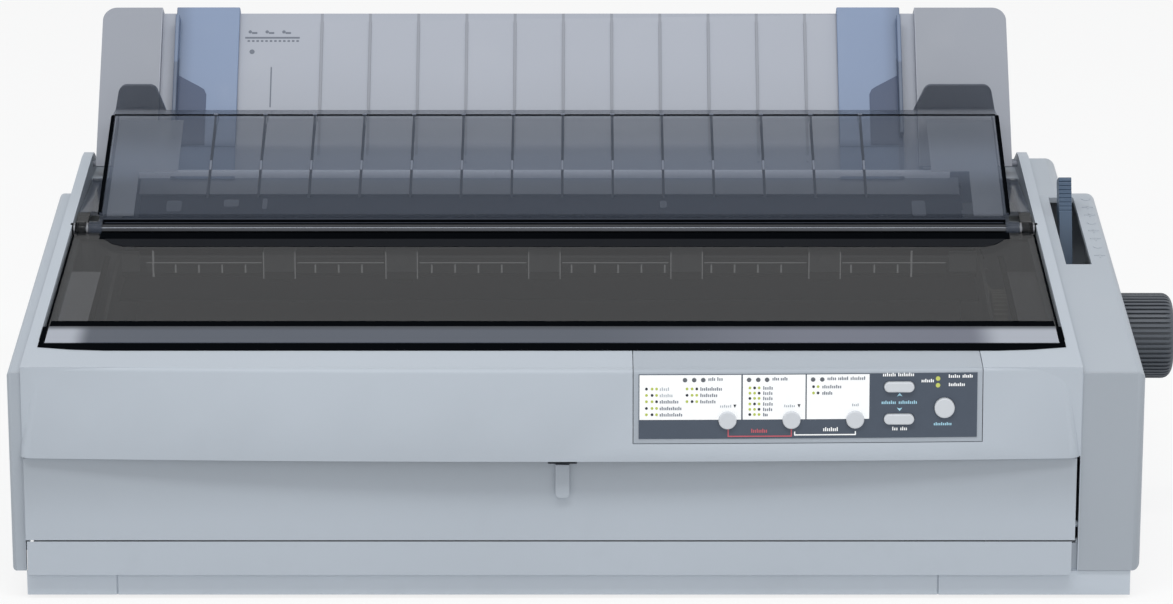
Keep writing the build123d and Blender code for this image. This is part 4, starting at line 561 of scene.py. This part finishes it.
shell = moulded("shell_grey", "b5bdc6", region=pod_painted_shade)
shell_flap = moulded("shell_grey_flap", "b3bbc4", region=flap_shade)
shell_low = moulded("shell_grey_low", "b5bdc6", wear=0.08)
shell_base = moulded("shell_grey_base", "bec6cf", wear=0.08)
seam_grey = moulded("seam_grey", "7b8289", grain=0.1)
bezel_grey = moulded("bezel_grey", "a9b1ba", grain=0.15)
guide_grey = moulded("guide_grey", "a8adb8", grain=0.18, region=guide_shade)
guide_blue = moulded("guide_blue", "7c8eac", rough=0.4, grain=0.12, region=fence_shade)
guide_navy = moulded("guide_navy", "364766", rough=0.42, grain=0.12)
lever_blue = moulded("lever_blue", "44586f", rough=0.36, grain=0.1)
knob_grey = moulded("knob_grey", "50555c", rough=0.5, grain=0.25)
button_grey = moulded("button_grey", "d0d4d9", rough=0.36, grain=0.08)
switch_grey = moulded("switch_grey", "3b3f44", rough=0.4)
black_plastic = moulded("black_plastic", "1f2123", rough=0.42, spread=0.1)
unit_grey = moulded("unit_grey", "57595c", rough=0.5)
pale_plastic = moulded("pale_plastic", "c9c9c2", rough=0.5)
deck_pale = moulded("deck_pale", "e6eaf0", rough=0.5, region=shelf_shade)
# Painted light: the pale left shelf glows so that it shows through the smoked cover.
shelf_pale = printed("shelf_pale", "eceff6", rough=0.6, specular=0.1, glow=0.18)
shelf_dull = printed("shelf_dull", "7c7f80", rough=0.6, specular=0.1)
lip_pale = printed("lip_pale", "a4a9b2", rough=0.6, specular=0.1)
# Painted light: the chute's pale spots glow faintly.
spot_grey = printed("spot_grey", "8a8f98", rough=0.6, specular=0.1, glow=0.02)
# Painted light: the tension unit's box fronts and scale glow a little to show behind the smoked cover.
box_grey = printed("box_grey", "a2a5a8", rough=0.6, specular=0.1, glow=0.06)
scale_grey = printed("scale_grey", "74777a", rough=0.6, specular=0.1, glow=0.02)
gear_white = moulded("gear_white", "d6d3c6", rough=0.4, wear=0.12)
motor_black = moulded("motor_black", "1a1b1d", rough=0.35, grain=0.1)
connector_black = moulded("connector_black", "18191b", rough=0.38)
slate_label = printed("slate_label", "4b5461", rough=0.38)
# Painted light: white ink glows a little to read whiter.
white_ink = printed("white_ink", "fafcfc", glow=0.08)
# Painted light: the pale bead at the guide's foot glows to show through the hood.
bar_pale = printed("bar_pale", "d4dae6", specular=0.1, glow=0.22)
# Painted light: the tension scale's ticks glow to show through the smoked cover.
tick_pale = printed("tick_pale", "e4e6e8", specular=0.1, glow=0.5)
pale_blue_ink = printed("pale_blue_ink", "a9d6e8")
grey_ink = printed("grey_ink", "6d7480")
pale_ink = printed("pale_ink", "b3bac0")
green_ink = printed("green_ink", "b9c65a")
red_ink = printed("red_ink", "c4606b")
dark_ink = printed("dark_ink", "2b3038")
# Black for the rod collars, and painted shadow for the black lines, gaps and sheets laid where only shade falls.
black_and_painted_shadow = printed("black_and_painted_shadow", "090b0e", rough=0.6, specular=0.0)
# Painted shade and reflection: the cover's rear flange is darkened as under the hood.
flange_painted_shade = printed("flange_painted_shade", "1c1e22", rough=0.6, specular=0.02)
lip_slate = printed("lip_slate", "454a54", rough=0.6, specular=0.02)
# Painted highlight: pale glints on the hood's ribs.
rib_painted_highlight = printed("rib_painted_highlight", "767c89", rough=0.6, specular=0.1)
ring_grey = steel("ring_grey", "77797e", rough=0.3)
chute_black = printed("chute_black", "24262a", rough=0.6, specular=0.2)
rod_black = steel("rod_black", "404246", rough=0.12, along=(1.0, 4.0, 4.0))
bright_steel = steel("bright_steel", "c9cbcc", rough=0.22)
zinc_sheet = spangled("zinc_sheet", "a9abad")
head_alloy = steel("head_alloy", "8d8f91", rough=0.42)
platen_rubber = rubbery("platen_rubber", "2a2b2d", rough=0.4)
foot_rubber = rubbery("foot_rubber", "232427")
belt_rubber = rubbery("belt_rubber", "16171a")
board_green = circuit("board_green")
front_smoke = smoked("front_smoke", "1e2023", 0.6, specular=0.15)
# Painted light: a pale see-through sheet that lightens the hood's sides.
hood_pale_painted_light = smoked("hood_pale_painted_light", "e4eaf4", 0.52, specular=0.0)


def grip_finish():
    """The thicker grip strip: painted shade makes it dark at its upper edge, and painted light makes it paler to the
    right and over the shelves.
    """
    f = Finish("grip_smoke")
    x, y, z = f.axes()
    ends = x.limit(0.198, 0.216) + (1.0 - x.limit(-0.290, -0.278))
    upper = y.limit(-0.1440, -0.1380)
    tone = f.blend(x.limit(-0.02, 0.12), srgb("4d535e"), srgb("6a6e7b"))
    tone = f.blend(ends, tone, srgb("a5aab4"))
    tone = f.blend(upper * 0.8, tone, srgb("2c3037"))
    shader = f.surface(
        Base_Color=tone,
        Roughness=0.3 + f.noise(9.0, 2.0) * 0.08,
        Specular_IOR_Level=0.12,
    )
    return f.done(shader)


lip_smoke = grip_finish()


def hood_veil(f, x, y, z):
    """The ears and the ribs under the hood let less light through and are painted darker, partly as painted shade; its
    middle is painted paler as painted light.
    """
    ears = z.limit(0.2063, 0.2075)
    ribs = rib_lines(x, -0.2297, 14, 0.0007) * (z > 0.172) * (y < 0.1025)
    middle = z.limit(0.175, 0.184) * (1.0 - z.limit(0.186, 0.200))
    return ears * 0.3 + ribs * 0.5, middle * (1.0 - ribs)


hood_smoke = smoked("hood_smoke", "4c5462", 0.42, region=hood_veil)


def lamps():
    """Small lamps: dull grey ones by the fields and two lit yellow ones at the right."""
    f = Finish("panel_lamps")
    x, y, z = f.axes()
    lit = x > 0.15
    depth = f.noise(900.0, 1.0)
    tone = f.blend(lit, srgb("4a4f57"), srgb("bcc24c"))
    shader = f.surface(
        Base_Color=f.blend(depth * 0.3, tone, srgb("8d9198")),
        Roughness=0.2 + depth * 0.1,
        Emission_Color=f.blend(lit, (0.0, 0.0, 0.0), srgb("c8d05a")),
        Emission_Strength=0.2,
        Coat_Weight=0.5,
    )
    return f.done(shader)


dress(["upper_housing"], shell)
dress(["front_cover"], shell_flap)
dress(["front_sill"], shell_low)
dress(["lower_housing"], shell_base)
dress(["panel_bezel"], bezel_grey)
dress(["panel_overlay"], slate_label)
dress(["status_leds"], lamps())
dress(["panel_board", "main_board"], board_green)
dress(["paper_guide"], guide_grey)
dress(["edge_guide_left", "edge_guide_right"], guide_blue)
dress(["release_lever", "gap_lever"], lever_blue)
dress(["platen_knob", "ribbon_knob"], knob_grey)
dress(["power_switch"], switch_grey)
dress([n for n in nodes if n.endswith("_button")], button_grey)
dress(["ribbon_cartridge", "carriage", "tractor_left", "tractor_right"], black_plastic)
dress(["tractor_door_left", "tractor_door_right", "tension_unit"], unit_grey)
dress([n for n in nodes if n.endswith(("_gear", "_pulley", "_pinion"))], gear_white)
dress(["feed_motor", "carriage_motor"], motor_black)
dress(["ac_inlet", "interface_ports"], connector_black)
dress(["hinge_rod"], rod_black)
dress(["guide_rod", "platen_shaft", "tractor_drive_shaft", "tractor_support_shaft"], bright_steel)
dress(["housing_screws"], bright_steel)
dress(["base_frame", "left_side_frame", "right_side_frame", "carriage_rail"], zinc_sheet)
dress(["lever_bracket", "power_supply"], zinc_sheet)
dress(["paper_chute"], chute_black)
dress(["print_head"], head_alloy)
dress(["platen_roller", "tension_rollers"], platen_rubber)
dress(["rubber_feet"], foot_rubber)
dress(["timing_belt"], belt_rubber)
dress(["printer_cover"], front_smoke)
dress(["guide_cover"], hood_smoke)


def soften_edges(names, width):
    """Rounds the sharp edges of carried-over nodes by a fraction of a millimetre."""
    for name in names:
        weld = nodes[name].modifiers.new("weld", "WELD")
        weld.merge_threshold = 1e-6
        flat = nodes[name].modifiers.new("flat", "DECIMATE")
        flat.decimate_type = "DISSOLVE"
        flat.angle_limit = math.radians(0.06)
        bevel = nodes[name].modifiers.new("soft", "BEVEL")
        bevel.width = width * MM
        bevel.segments = 2
        bevel.limit_method = "ANGLE"
        bevel.angle_limit = math.radians(38.0)
        bevel.harden_normals = True


soften_edges(["upper_housing", "front_cover", "front_sill", "lower_housing", "panel_bezel"], 0.8)
soften_edges(["paper_guide", "edge_guide_left", "edge_guide_right"], 0.6)


# ---------------------------------------------------------------- smoked front cover


def quad(x0, x1, y0, y1):
    return [(x0, y0), (x1, y0), (x1, y1), (x0, y1)]


def across(y0, y1, low, high, x0, x1, corner=0.0, count=30):
    """A straight strip across the cover, its front corners drawn back a little."""
    pile = Pile()
    rings = []
    for i in range(count + 1):
        x = x0 + (x1 - x0) * i / count
        near = min(x - x0, x1 - x) / 40.0
        front = y0 + corner * max(0.0, 1.0 - near) ** 2
        rings.append(
            [
                (x, front, cover_top(front) + low),
                (x, y1, cover_top(y1) + low),
                (x, y1, cover_top(y1) + high),
                (x, front, cover_top(front) + high),
            ]
        )
    pile.hull(rings)
    return pile


lip = across(-159.2, -137.4, DECK_STEP + 0.15, DECK_STEP + 0.8, OPEN_LEFT + 3.6, OPEN_RIGHT - 3.6)
lip.make("cover_grip", "printer_cover", lip_smoke, "smoke", soften=0.3)
# The black foot under the grip stands in as painted shade beneath it.
carrier = across(-152.0, -138.4, 0.03, DECK_STEP + 0.2, OPEN_LEFT + 5.0, OPEN_RIGHT - 5.0)
carrier.make("cover_grip_foot", "printer_cover", black_and_painted_shadow, "smoke")
# A black strip in front of the grip and at its ends, painted shadow for the grip's front face and the gap.
front_shadow_line = across(-168.6, -158.9, DECK_STEP + 0.1, DECK_STEP + 0.4, OPEN_LEFT + 0.4, OPEN_RIGHT - 0.4, 4.6)
for x0, x1 in ((OPEN_LEFT + 0.4, OPEN_LEFT + 3.2), (OPEN_RIGHT - 3.2, OPEN_RIGHT - 0.4)):
    front_shadow_line.plate(quad(x0, x1, -160.0, -137.0), on_slope(cover_top, DECK_STEP + 0.4), 0.3)
front_shadow_line.make("cover_front_shadow_line", "printer_cover", black_and_painted_shadow, "smoke")
rear_line = Pile()
rear_line.plate(quad(OPEN_LEFT + 3.0, OPEN_RIGHT - 3.0, -138.0, -122.4), on_slope(cover_top, 0.35), 0.3)
rear_line.make("cover_grip_shadow", "printer_cover", black_and_painted_shadow, "smoke")
# Black beads along the cover's side edges, painted shade in the gaps.
edges = Pile()
for x in (OPEN_LEFT + 1.6, OPEN_RIGHT - 1.6):
    path = [(x, y, cover_top(y) - 0.2) for y in (-154.0, -90.0, -30.0, 2.0)]
    edges.bead(path, 0.7)
edges.make("cover_side_lines", "printer_cover", black_and_painted_shadow, "smoke", smooth=True)
# The cover's rear flange, drawn dark as painted shade and reflection of the hood.
flange = Pile()
flange.plate(
    [(-274.0, -15.6), (218.0, -15.6), (225.0, -11.5), (230.0, -4.5), (-286.0, -4.5), (-281.0, -11.5)],
    on_slope(cover_top, 0.25),
    0.3,
)
flange.make("cover_rear_flange", "printer_cover", flange_painted_shade, "smoke", soften=0.1)
shadow = Pile()
shadow.plate(quad(-289.0, 233.0, -4.4, 5.0), on_slope(cover_top, 0.2), 0.3)
shadow.make("cover_rear_shadow", "printer_cover", black_and_painted_shadow, "smoke")


# ---------------------------------------------------------------- smoked hood

# Black beads along the hood's edges, painted shade where the smoked walls are seen edge-on.
outline = Pile()
for x in (HOOD_LEFT + 0.3, HOOD_RIGHT - 0.3):
    path = [(x, y, hood_top(y) - 0.6) for y in (18.0, 60.0, 101.0)]
    outline.bead(path, 1.3)
outline.bead([(HOOD_LEFT + 1.0, 101.7, 206.0), (HOOD_RIGHT - 1.0, 101.7, 206.0)], 0.6)
outline.make("hood_edge_lines", "guide_cover", black_and_painted_shadow, "smoke", smooth=True)
front_lip, front_shadow, glints, top_glints = Pile(), Pile(), Pile(), Pile()
front_lip.block((HOOD_LEFT + 2.0, HOOD_RIGHT - 2.0), (15.6, 16.8), (162.4, 163.3))
front_lip.bead([(HOOD_LEFT + 3.0, 15.5, 160.6), (HOOD_RIGHT - 3.0, 15.5, 160.6)], 0.25)
front_lip.make("hood_front_lip", "guide_cover", lip_slate, "smoke", soften=0.2)
front_shadow.block((HOOD_LEFT + 2.0, HOOD_RIGHT - 2.0), (15.7, 16.7), (158.9, 162.35))
front_shadow.make("hood_front_shadow", "guide_cover", black_and_painted_shadow, "smoke")
# Pale glints along each rib and at its top, painted highlights.
for i in range(14):
    x = -229.7 + 29.4 * i
    glints.plate(rounded((x - 0.6, x + 0.6), (54.0, 62.0), 0.5, 3), on_slope(hood_top, 0.1), 0.3)
    top_glints.block((x - 1.2, x + 1.2), (100.6, 102.3), (206.2, 206.9))
glints.make("hood_rib_glints", "guide_cover", rib_painted_highlight, "smoke")
# Pale sheets under the hood's sides, painted light that lightens them.
tint = Pile()
for x0, x1, step in ((-287.0, -271.5, -249.0), (231.0, 214.0, 192.0)):
    profile = [(x0, 19.5), (x1, 19.5), (x1, 57.0), (step, 57.0), (step, 101.5), (x0, 101.5)]
    tint.plate(profile if x0 < x1 else profile[::-1], on_slope(hood_top, -3.0), 0.3)
tint.make("hood_side_painted_light", "guide_cover", hood_pale_painted_light, "smoke")
top_glints.make("hood_rib_top_glints", "guide_cover", rib_painted_highlight, "smoke")


# ---------------------------------------------------------------- inner shelves and lips


def plain_plate(name, corners, height, thick, material, slot, body="chassis", soften=0.2):
    """A flat plate from (x, y) corners, at a height given by a function of y."""
    pile = Pile()
    pile.plate(corners, on_slope(height, 0.0), thick)
    return pile.make(name, body, material, slot, soften=soften)


def under_cover(y):
    return cover_top(y) - 6.5


def chute_top(y):
    """Height of the bent sheet's upper slope."""
    return 161.0 + (y - 116.0) * 26.0 / 54.0


# The shelves under the cover carry painted light on the left and painted shade on the right, with a black strip of
# painted shadow along their inner edges.
for side, x0, x1 in (("left", -303.0, -285.0), ("right", 228.5, 246.0)):
    ink = shelf_pale if side == "left" else deck_pale
    inner = x1 if side == "left" else x0 - 3.0
    plain_plate("deck_shelf_edge_" + side, quad(inner, inner + 3.0, -122.0, -12.0), under_cover, 1.5, black_and_painted_shadow, "housing")
    plain_plate("deck_shelf_" + side, quad(x0, x1, -123.0, -36.0), under_cover, 1.5, ink, "housing")
for side, x0, x1 in (("left", -303.0, -284.5), ("right", 213.0, 246.0)):
    plain_plate("hood_shelf_" + side, quad(x0, x1, 20.0, 113.5), lambda y: 150.0, 1.5, shelf_dull, "housing")
# A black sheet under the hinge rod, painted shadow where there is only shade and gap.
plain_plate("hinge_painted_shadow", quad(-276.0, 219.0, 1.0, 20.0), lambda y: 144.0, 1.2, black_and_painted_shadow, "dark_plastic")
# A pale bead along the guide's foot, lifted by a glow of painted light.
bead = Pile()
bead.bead([(-278.0, 118.4, 166.4), (208.0, 118.4, 166.4)], 2.6, 12)
bead.make("guide_bottom_bead", "paper_guide", bar_pale, "guide", smooth=True)
lip_plate = Pile()
lip_plate.hull(
    [
        [(x, 105.0, 156.4), (x, 119.4, 163.4), (x, 118.8, 164.4), (x, 104.4, 157.4)]
        for x in (-277.0, 213.0)
    ]
)
lip_plate.make("chute_top_lip", "chassis", lip_pale, "sheet_steel", soften=0.2)
# Pale spots on the chute's upper slope, lifted by a faint glow of painted light.
spots = Pile()
for x0, x1, y0, y1 in ((-260.0, -251.0, 92.0, 101.0), (-226.0, -217.0, 96.0, 102.0), (-203.0, -200.0, 94.0, 103.0), (184.0, 192.0, 88.0, 101.0), (34.0, 38.0, 95.0, 101.0)):
    spots.plate(rounded((x0, x1), (y0, y1), 1.4, 3), on_slope(chute_top, 0.35), 0.3)
spots.make("chute_pale_spots", "chassis", spot_grey, "sheet_steel")

# ---------------------------------------------------------------- what shows of the tension unit

BAR_FRONT = -6.0
BOX_MIDDLES = (-185.6, -115.6, -33.9, 47.5, 126.5)
scale, ticks, boxes = Pile(), Pile(), Pile()
spans = [(-262.0, -196.0), (-175.6, -126.0), (-105.4, -44.2), (-23.6, 37.2), (57.6, 116.2), (136.8, 196.0)]
for x0, x1 in spans:
    scale.block((x0, x1), (BAR_FRONT - 1.4, BAR_FRONT), (136.4, 142.4))
    ticks.block((x0, x1), (BAR_FRONT - 1.5, BAR_FRONT - 0.9), (142.3, 142.7))
for i in range(32):
    x = -245.3 + 13.35 * i
    if all(abs(x - middle) > 11.5 for middle in BOX_MIDDLES):
        ticks.block((x - 0.45, x + 0.45), (BAR_FRONT - 1.7, BAR_FRONT - 1.3), (136.6, 141.4))
for x in (-258.1, 176.4):
    ticks.block((x - 0.5, x + 0.5), (BAR_FRONT - 1.7, BAR_FRONT - 0.2), (134.2, 149.4))
for middle in BOX_MIDDLES:
    boxes.block((middle - 9.2, middle + 9.2), (-11.0, -9.6), (138.0, 150.4))
    boxes.block((middle - 9.2, middle + 9.2), (-9.8, 3.6), (148.0, 150.4))
    boxes.post((middle, 144.6), "y", 3.6, (-11.6, -10.6), 18)
    for side in (-1.0, 1.0):
        ticks.block(sorted((middle + side * 9.3, middle + side * 8.7)), (-11.2, -10.6), (133.9, 149.6))
for x0, x1 in ((-284.0, -266.0), (198.0, 213.5)):
    boxes.block((x0, x1), (-8.4, -5.0), (137.5, 149.0))
for x, z0, z1 in ((215.4, 137.5, 147.0), (218.4, 136.4, 139.0), (-287.0, 136.4, 140.0)):
    boxes.block((x - 1.2, x + 1.8), (-7.6, -5.4), (z0, z1))
# The scale, its ticks and the box fronts carry a glow of painted light.
scale.make("tension_scale", "chassis", scale_grey, "dark_plastic", soften=0.2)
ticks.make("tension_scale_lines", "chassis", tick_pale, "label")
boxes.make("tension_box_fronts", "chassis", box_grey, "dark_plastic", soften=0.3)


# ---------------------------------------------------------------- hinge rod

fittings = Pile()
for x, turn in ((-308.0, 1.0), (251.0, -1.0)):
    fittings.post((12.0, 157.0), "x", (4.3, 4.3, 3.0), (x + turn * 1.0, x + turn * 5.5, x + turn * 6.0))
fittings.make("rod_collars", "chassis", black_and_painted_shadow, "rod_black", smooth=False, soften=0.3)
rings = Pile()
for x, turn in ((-305.2, 1.0), (248.2, -1.0)):
    for step in (0.0, 7.5):
        place = x + turn * step
        rings.post((12.0, 157.0), "x", 4.45, (place, place + turn * 0.9))
rings.make("rod_rings", "chassis", ring_grey, "rod_black")

# ---------------------------------------------------------------- control panel

field_x = ((18.4, 72.6), (73.4, 106.8), (107.5, 140.9))
# White fields in white ink, which carries a glow of painted light.
fields = Pile()
for left, right in field_x:
    count = 8
    for i in range(count):
        a = left + (right - left) * i / count
        b = left + (right - left) * (i + 1) / count
        fields.plate([(a, 103.3), (b, 103.3), (b, 127.3), (a, 127.3)], on_panel(0.06), 0.2)
fields.make("panel_fields", "chassis", white_ink, "label")

MARK = 0.16


def bar(pile, x0, x1, z, height, proud=MARK):
    """A row of short strokes of uneven height in place of a word."""
    count = max(2, round((x1 - x0) / 1.0))
    step = (x1 - x0) / count
    low = z - height / 2
    for i in range(count):
        left = x0 + i * step
        top = low + height * (0.95, 0.7, 0.7)[(i + round(x0)) % 3]
        pile.plate([(left, low), (left + 0.58, low), (left + 0.58, top), (left, top)], on_panel(proud), 0.15)


grey_marks, pale_marks, green_marks = Pile(), Pile(), Pile()
dark_marks, white_marks, blue_marks, red_marks = Pile(), Pile(), Pile(), Pile()
for x0, x1 in ((55.1, 59.0), (59.8, 63.1), (89.2, 93.0), (93.6, 97.5), (118.5, 123.4), (124.2, 129.8), (130.8, 139.0)):
    bar(grey_marks, x0, x1, 125.2, 1.9)
rows = (
    ((22.1, 25.1, 27.5), 28.8, ((119.9, 34.6), (116.5, 36.4), (113.1, 39.5), (109.5, 41.1), (106.1, 41.6))),
    ((43.7, 46.4, 48.9), 50.4, ((119.9, 62.6), (116.5, 60.2), (113.1, 59.3))),
    (
        (77.2, 79.7, 82.1),
        83.9,
        ((120.3, 89.8), (117.5, 89.6), (114.7, 89.7), (111.7, 89.8), (108.8, 89.5), (106.0, 87.0)),
    ),
    ((111.1, 113.5), 115.4, ((120.8, 126.3), (117.4, 121.4))),
)
for group, (dots, start, lines) in enumerate(rows):
    for line, (z, end) in enumerate(lines):
        for place, x in enumerate(dots):
            lit = (line * 2 + place + group) % 3 == 0
            (dark_marks if lit else green_marks).plate(disc(x, z, 0.75, 10), on_panel(MARK), 0.15)
        ink = pale_marks if group < 2 and line < 2 and group == 0 else grey_marks
        bar(ink, start + 0.4, end, z, 1.9)
for x0, x1, z in ((61.3, 67.8, 110.6), (95.5, 101.6, 110.6), (131.7, 135.6, 110.9)):
    bar(pale_marks, x0, x1, z, 1.5)
for x in (69.2, 103.4):
    dark_marks.plate([(x - 0.8, 111.4), (x + 0.8, 111.4), (x, 109.6)], on_panel(MARK), 0.15)
for x0, x1, z, height in (
    (148.1, 155.2, 127.0, 2.0),
    (156.2, 165.0, 127.0, 2.0),
    (153.3, 156.6, 98.0, 2.0),
    (157.6, 161.5, 98.0, 2.0),
    (168.7, 175.6, 123.6, 1.9),
    (183.2, 189.6, 125.9, 1.9),
    (190.6, 196.3, 125.9, 1.9),
    (183.3, 192.2, 121.4, 1.9),
    (116.4, 124.6, 97.9, 2.2),
):
    bar(white_marks, x0, x1, z, height)
for x0, x1, z, height in ((147.5, 155.4, 112.1, 1.9), (156.6, 166.7, 112.1, 1.9), (175.5, 185.3, 100.3, 1.7)):
    bar(blue_marks, x0, x1, z, height)
for x, z, way in ((157.1, 115.6, 1.0), (157.1, 108.8, -1.0)):
    blue_marks.plate(
        [(x - 1.5, z - 0.4 * way), (x, z + 1.5 * way), (x + 1.5, z - 0.4 * way), (x, z + 0.1 * way)],
        on_panel(MARK),
        0.15,
    )
bar(red_marks, 78.0, 86.8, 97.3, 2.2)
for pile, left, right, top, low in ((red_marks, 65.4, 99.7, 98.0, 94.6), (white_marks, 100.9, 133.9, 96.7, 95.2)):
    for a, b, c, d in (
        (left, left + 0.6, low, top),
        (right - 0.6, right, low, top),
        (left, right, low - 0.6, low),
    ):
        steps = 6 if b - a > 2 else 1
        for i in range(steps):
            p = a + (b - a) * i / steps
            q = a + (b - a) * (i + 1) / steps
            pile.plate([(p, c), (q, c), (q, d), (p, d)], on_panel(MARK), 0.15)
for name, pile, ink in (
    ("panel_words_grey", grey_marks, grey_ink),
    ("panel_words_pale", pale_marks, pale_ink),
    ("panel_dots_green", green_marks, green_ink),
    ("panel_dots_dark", dark_marks, dark_ink),
    ("panel_words_white", white_marks, white_ink),
    ("panel_words_blue", blue_marks, pale_blue_ink),
    ("panel_words_red", red_marks, red_ink),
):
    pile.make(name, "chassis", ink, "label")

# ---------------------------------------------------------------- paper guide

signs = Pile()
for x in (-213.5, -203.2, -193.0):
    signs.plate(disc(x - 1.0, 93.0, 1.1, 10), on_guide(-5.95), 0.2)
    signs.plate(rounded((x, x + 3.4), (91.6, 92.9), 0.4, 2), on_guide(-5.95), 0.2)
signs.plate(rounded((-217.5, -184.2), (88.4, 89.6), 0.3, 2), on_guide(-5.95), 0.2)
for i in range(12):
    x = -216.0 + i * 2.7
    signs.plate(rounded((x, x + 1.6), (86.2, 87.4), 0.3, 2), on_guide(-5.95), 0.2)
signs.plate(disc(-213.0, 79.5, 1.6, 12), on_guide(-5.95), 0.2)
signs.plate(rounded((-201.4, -200.6), (42.0, 69.2), 0.3, 2), on_guide(-5.9), 0.2)
signs.make("guide_signs", "paper_guide", grey_ink, "guide")
for side, body, x, way in (("left", "edge_guide_left", -259.2, 1.0), ("right", "edge_guide_right", 180.8, -1.0)):
    gusset = Pile()
    gusset.plate(
        [
            (x, 63.1),
            (x, 15.0),
            (x + way * 19.7, 15.0),
            (x + way * 19.7, 49.0),
            (x + way * 18.3, 52.3),
            (x + way * 15.5, 54.2),
        ][:: 1 if way > 0 else -1],
        on_guide(-2.1),
        0.6,
    )
    gusset.make("edge_guide_gusset_" + side, body, guide_navy, "edge_guide", soften=0.15)
    skirt = Pile()
    skirt.plate(quad(*sorted((x, x + way * 38.4)), -7.0, 17.0), on_guide(-2.9), 0.6)
    skirt.make("edge_guide_skirt_" + side, body, guide_blue, "edge_guide")

# ---------------------------------------------------------------- marks beside the lever slot

marks = Pile()
for i, y in enumerate((60.0, 47.0, 35.0, 23.0, 11.0, -1.0, -13.0, -26.0)):
    x = 283.0 - 0.5 * i * 0.3
    if i % 3 == 0:
        ring = disc(x, y, 2.6, 18)
        marks.plate(ring, on_slope(pod_top, 0.25), 0.5)
    else:
        marks.plate(rounded((x - 3.2, x + 3.2), (y - 0.5, y + 0.5), 0.4, 2), on_slope(pod_top, 0.25), 0.5)
        marks.plate(rounded((x - 0.5, x + 0.5), (y - 3.0, y + 3.0), 0.4, 2), on_slope(pod_top, 0.25), 0.5)
marks.make("lever_place_marks", "chassis", shell, "housing")

# ---------------------------------------------------------------- camera, light and floor


def make_camera():
    data = bpy.data.cameras.new("camera")
    data.lens = 133.6
    data.sensor_width = 36.0
    camera = bpy.data.objects.new("camera", data)
    camera.location = (-0.0098, -2.4303, 0.7369)
    camera.rotation_euler = (math.radians(75.7), 0.0, 0.0)
    bpy.context.scene.collection.objects.link(camera)
    bpy.context.scene.camera = camera


def make_lamp(name, place, aim, size, power, tint=(1.0, 1.0, 1.0)):
    data = bpy.data.lights.new(name, "AREA")
    data.shape = "RECTANGLE"
    data.size, data.size_y = size
    data.energy = power
    data.color = tint
    lamp = bpy.data.objects.new(name, data)
    lamp.location = place
    lamp.rotation_euler = (Vector(aim) - Vector(place)).to_track_quat("-Z", "Y").to_euler()
    bpy.context.scene.collection.objects.link(lamp)


def make_world():
    world = bpy.data.worlds.new("studio")
    bpy.context.scene.world = world
    world.use_nodes = True
    tree = world.node_tree
    tree.nodes.clear()
    path = tree.nodes.new("ShaderNodeLightPath")
    seen = path.outputs["Is Camera Ray"]
    for way in ("Is Glossy Ray", "Is Transmission Ray"):
        either = tree.nodes.new("ShaderNodeMath")
        either.operation = "MAXIMUM"
        tree.links.new(seen, either.inputs[0])
        tree.links.new(path.outputs[way], either.inputs[1])
        seen = either.outputs[0]
    white, soft = (tree.nodes.new("ShaderNodeBackground") for _ in range(2))
    white.inputs["Strength"].default_value = 1.0
    white.inputs["Color"].default_value = (1.0, 1.0, 1.0, 1.0)
    soft.inputs["Strength"].default_value = SKY_LEVEL
    soft.inputs["Color"].default_value = (0.97, 0.985, 1.0, 1.0)
    mix = tree.nodes.new("ShaderNodeMixShader")
    tree.links.new(seen, mix.inputs[0])
    tree.links.new(soft.outputs[0], mix.inputs[1])
    tree.links.new(white.outputs[0], mix.inputs[2])
    out = tree.nodes.new("ShaderNodeOutputWorld")
    tree.links.new(mix.outputs[0], out.inputs["Surface"])


def make_floor():
    f = Finish("floor_white")
    tone = f.noise(3.0, 2.0)
    paper = f.surface(Base_Color=f.blend(tone, (0.9, 0.9, 0.9), (0.93, 0.93, 0.93)), Roughness=0.9, Specular_IOR_Level=0.1)
    glow = f.add("Emission", sockets={"Color": (1.0, 1.0, 1.0), "Strength": 1.0})
    seen = f.add("LightPath", out="Is Camera Ray")
    shader = f.add("MixShader", sockets={0: seen * 0.82, 1: paper, 2: glow})
    mesh = bpy.data.meshes.new("floor")
    mesh.from_pydata([(-4, -4, 0), (4, -4, 0), (4, 5, 0), (-4, 5, 0)], [], [(0, 1, 2, 3)])
    mesh.materials.append(f.done(shader))
    floor = bpy.data.objects.new("floor", mesh)
    bpy.context.scene.collection.objects.link(floor)
    floor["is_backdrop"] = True


SKY_LEVEL = 0.62
make_camera()
make_world()
make_floor()
make_lamp("strip_above", (0.0, -0.9, 1.9), (0.0, 0.0, 0.1), (1.7, 0.3), 17.0)
make_lamp("front_soft", (0.3, -2.6, 1.3), (0.0, 0.0, 0.1), (1.6, 1.0), 5.0)
bpy.context.scene.view_settings.view_transform = "Standard"

low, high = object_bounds()
{"cad": [list(cad_low), list(cad_high)], "visual": [list(low), list(high)]}
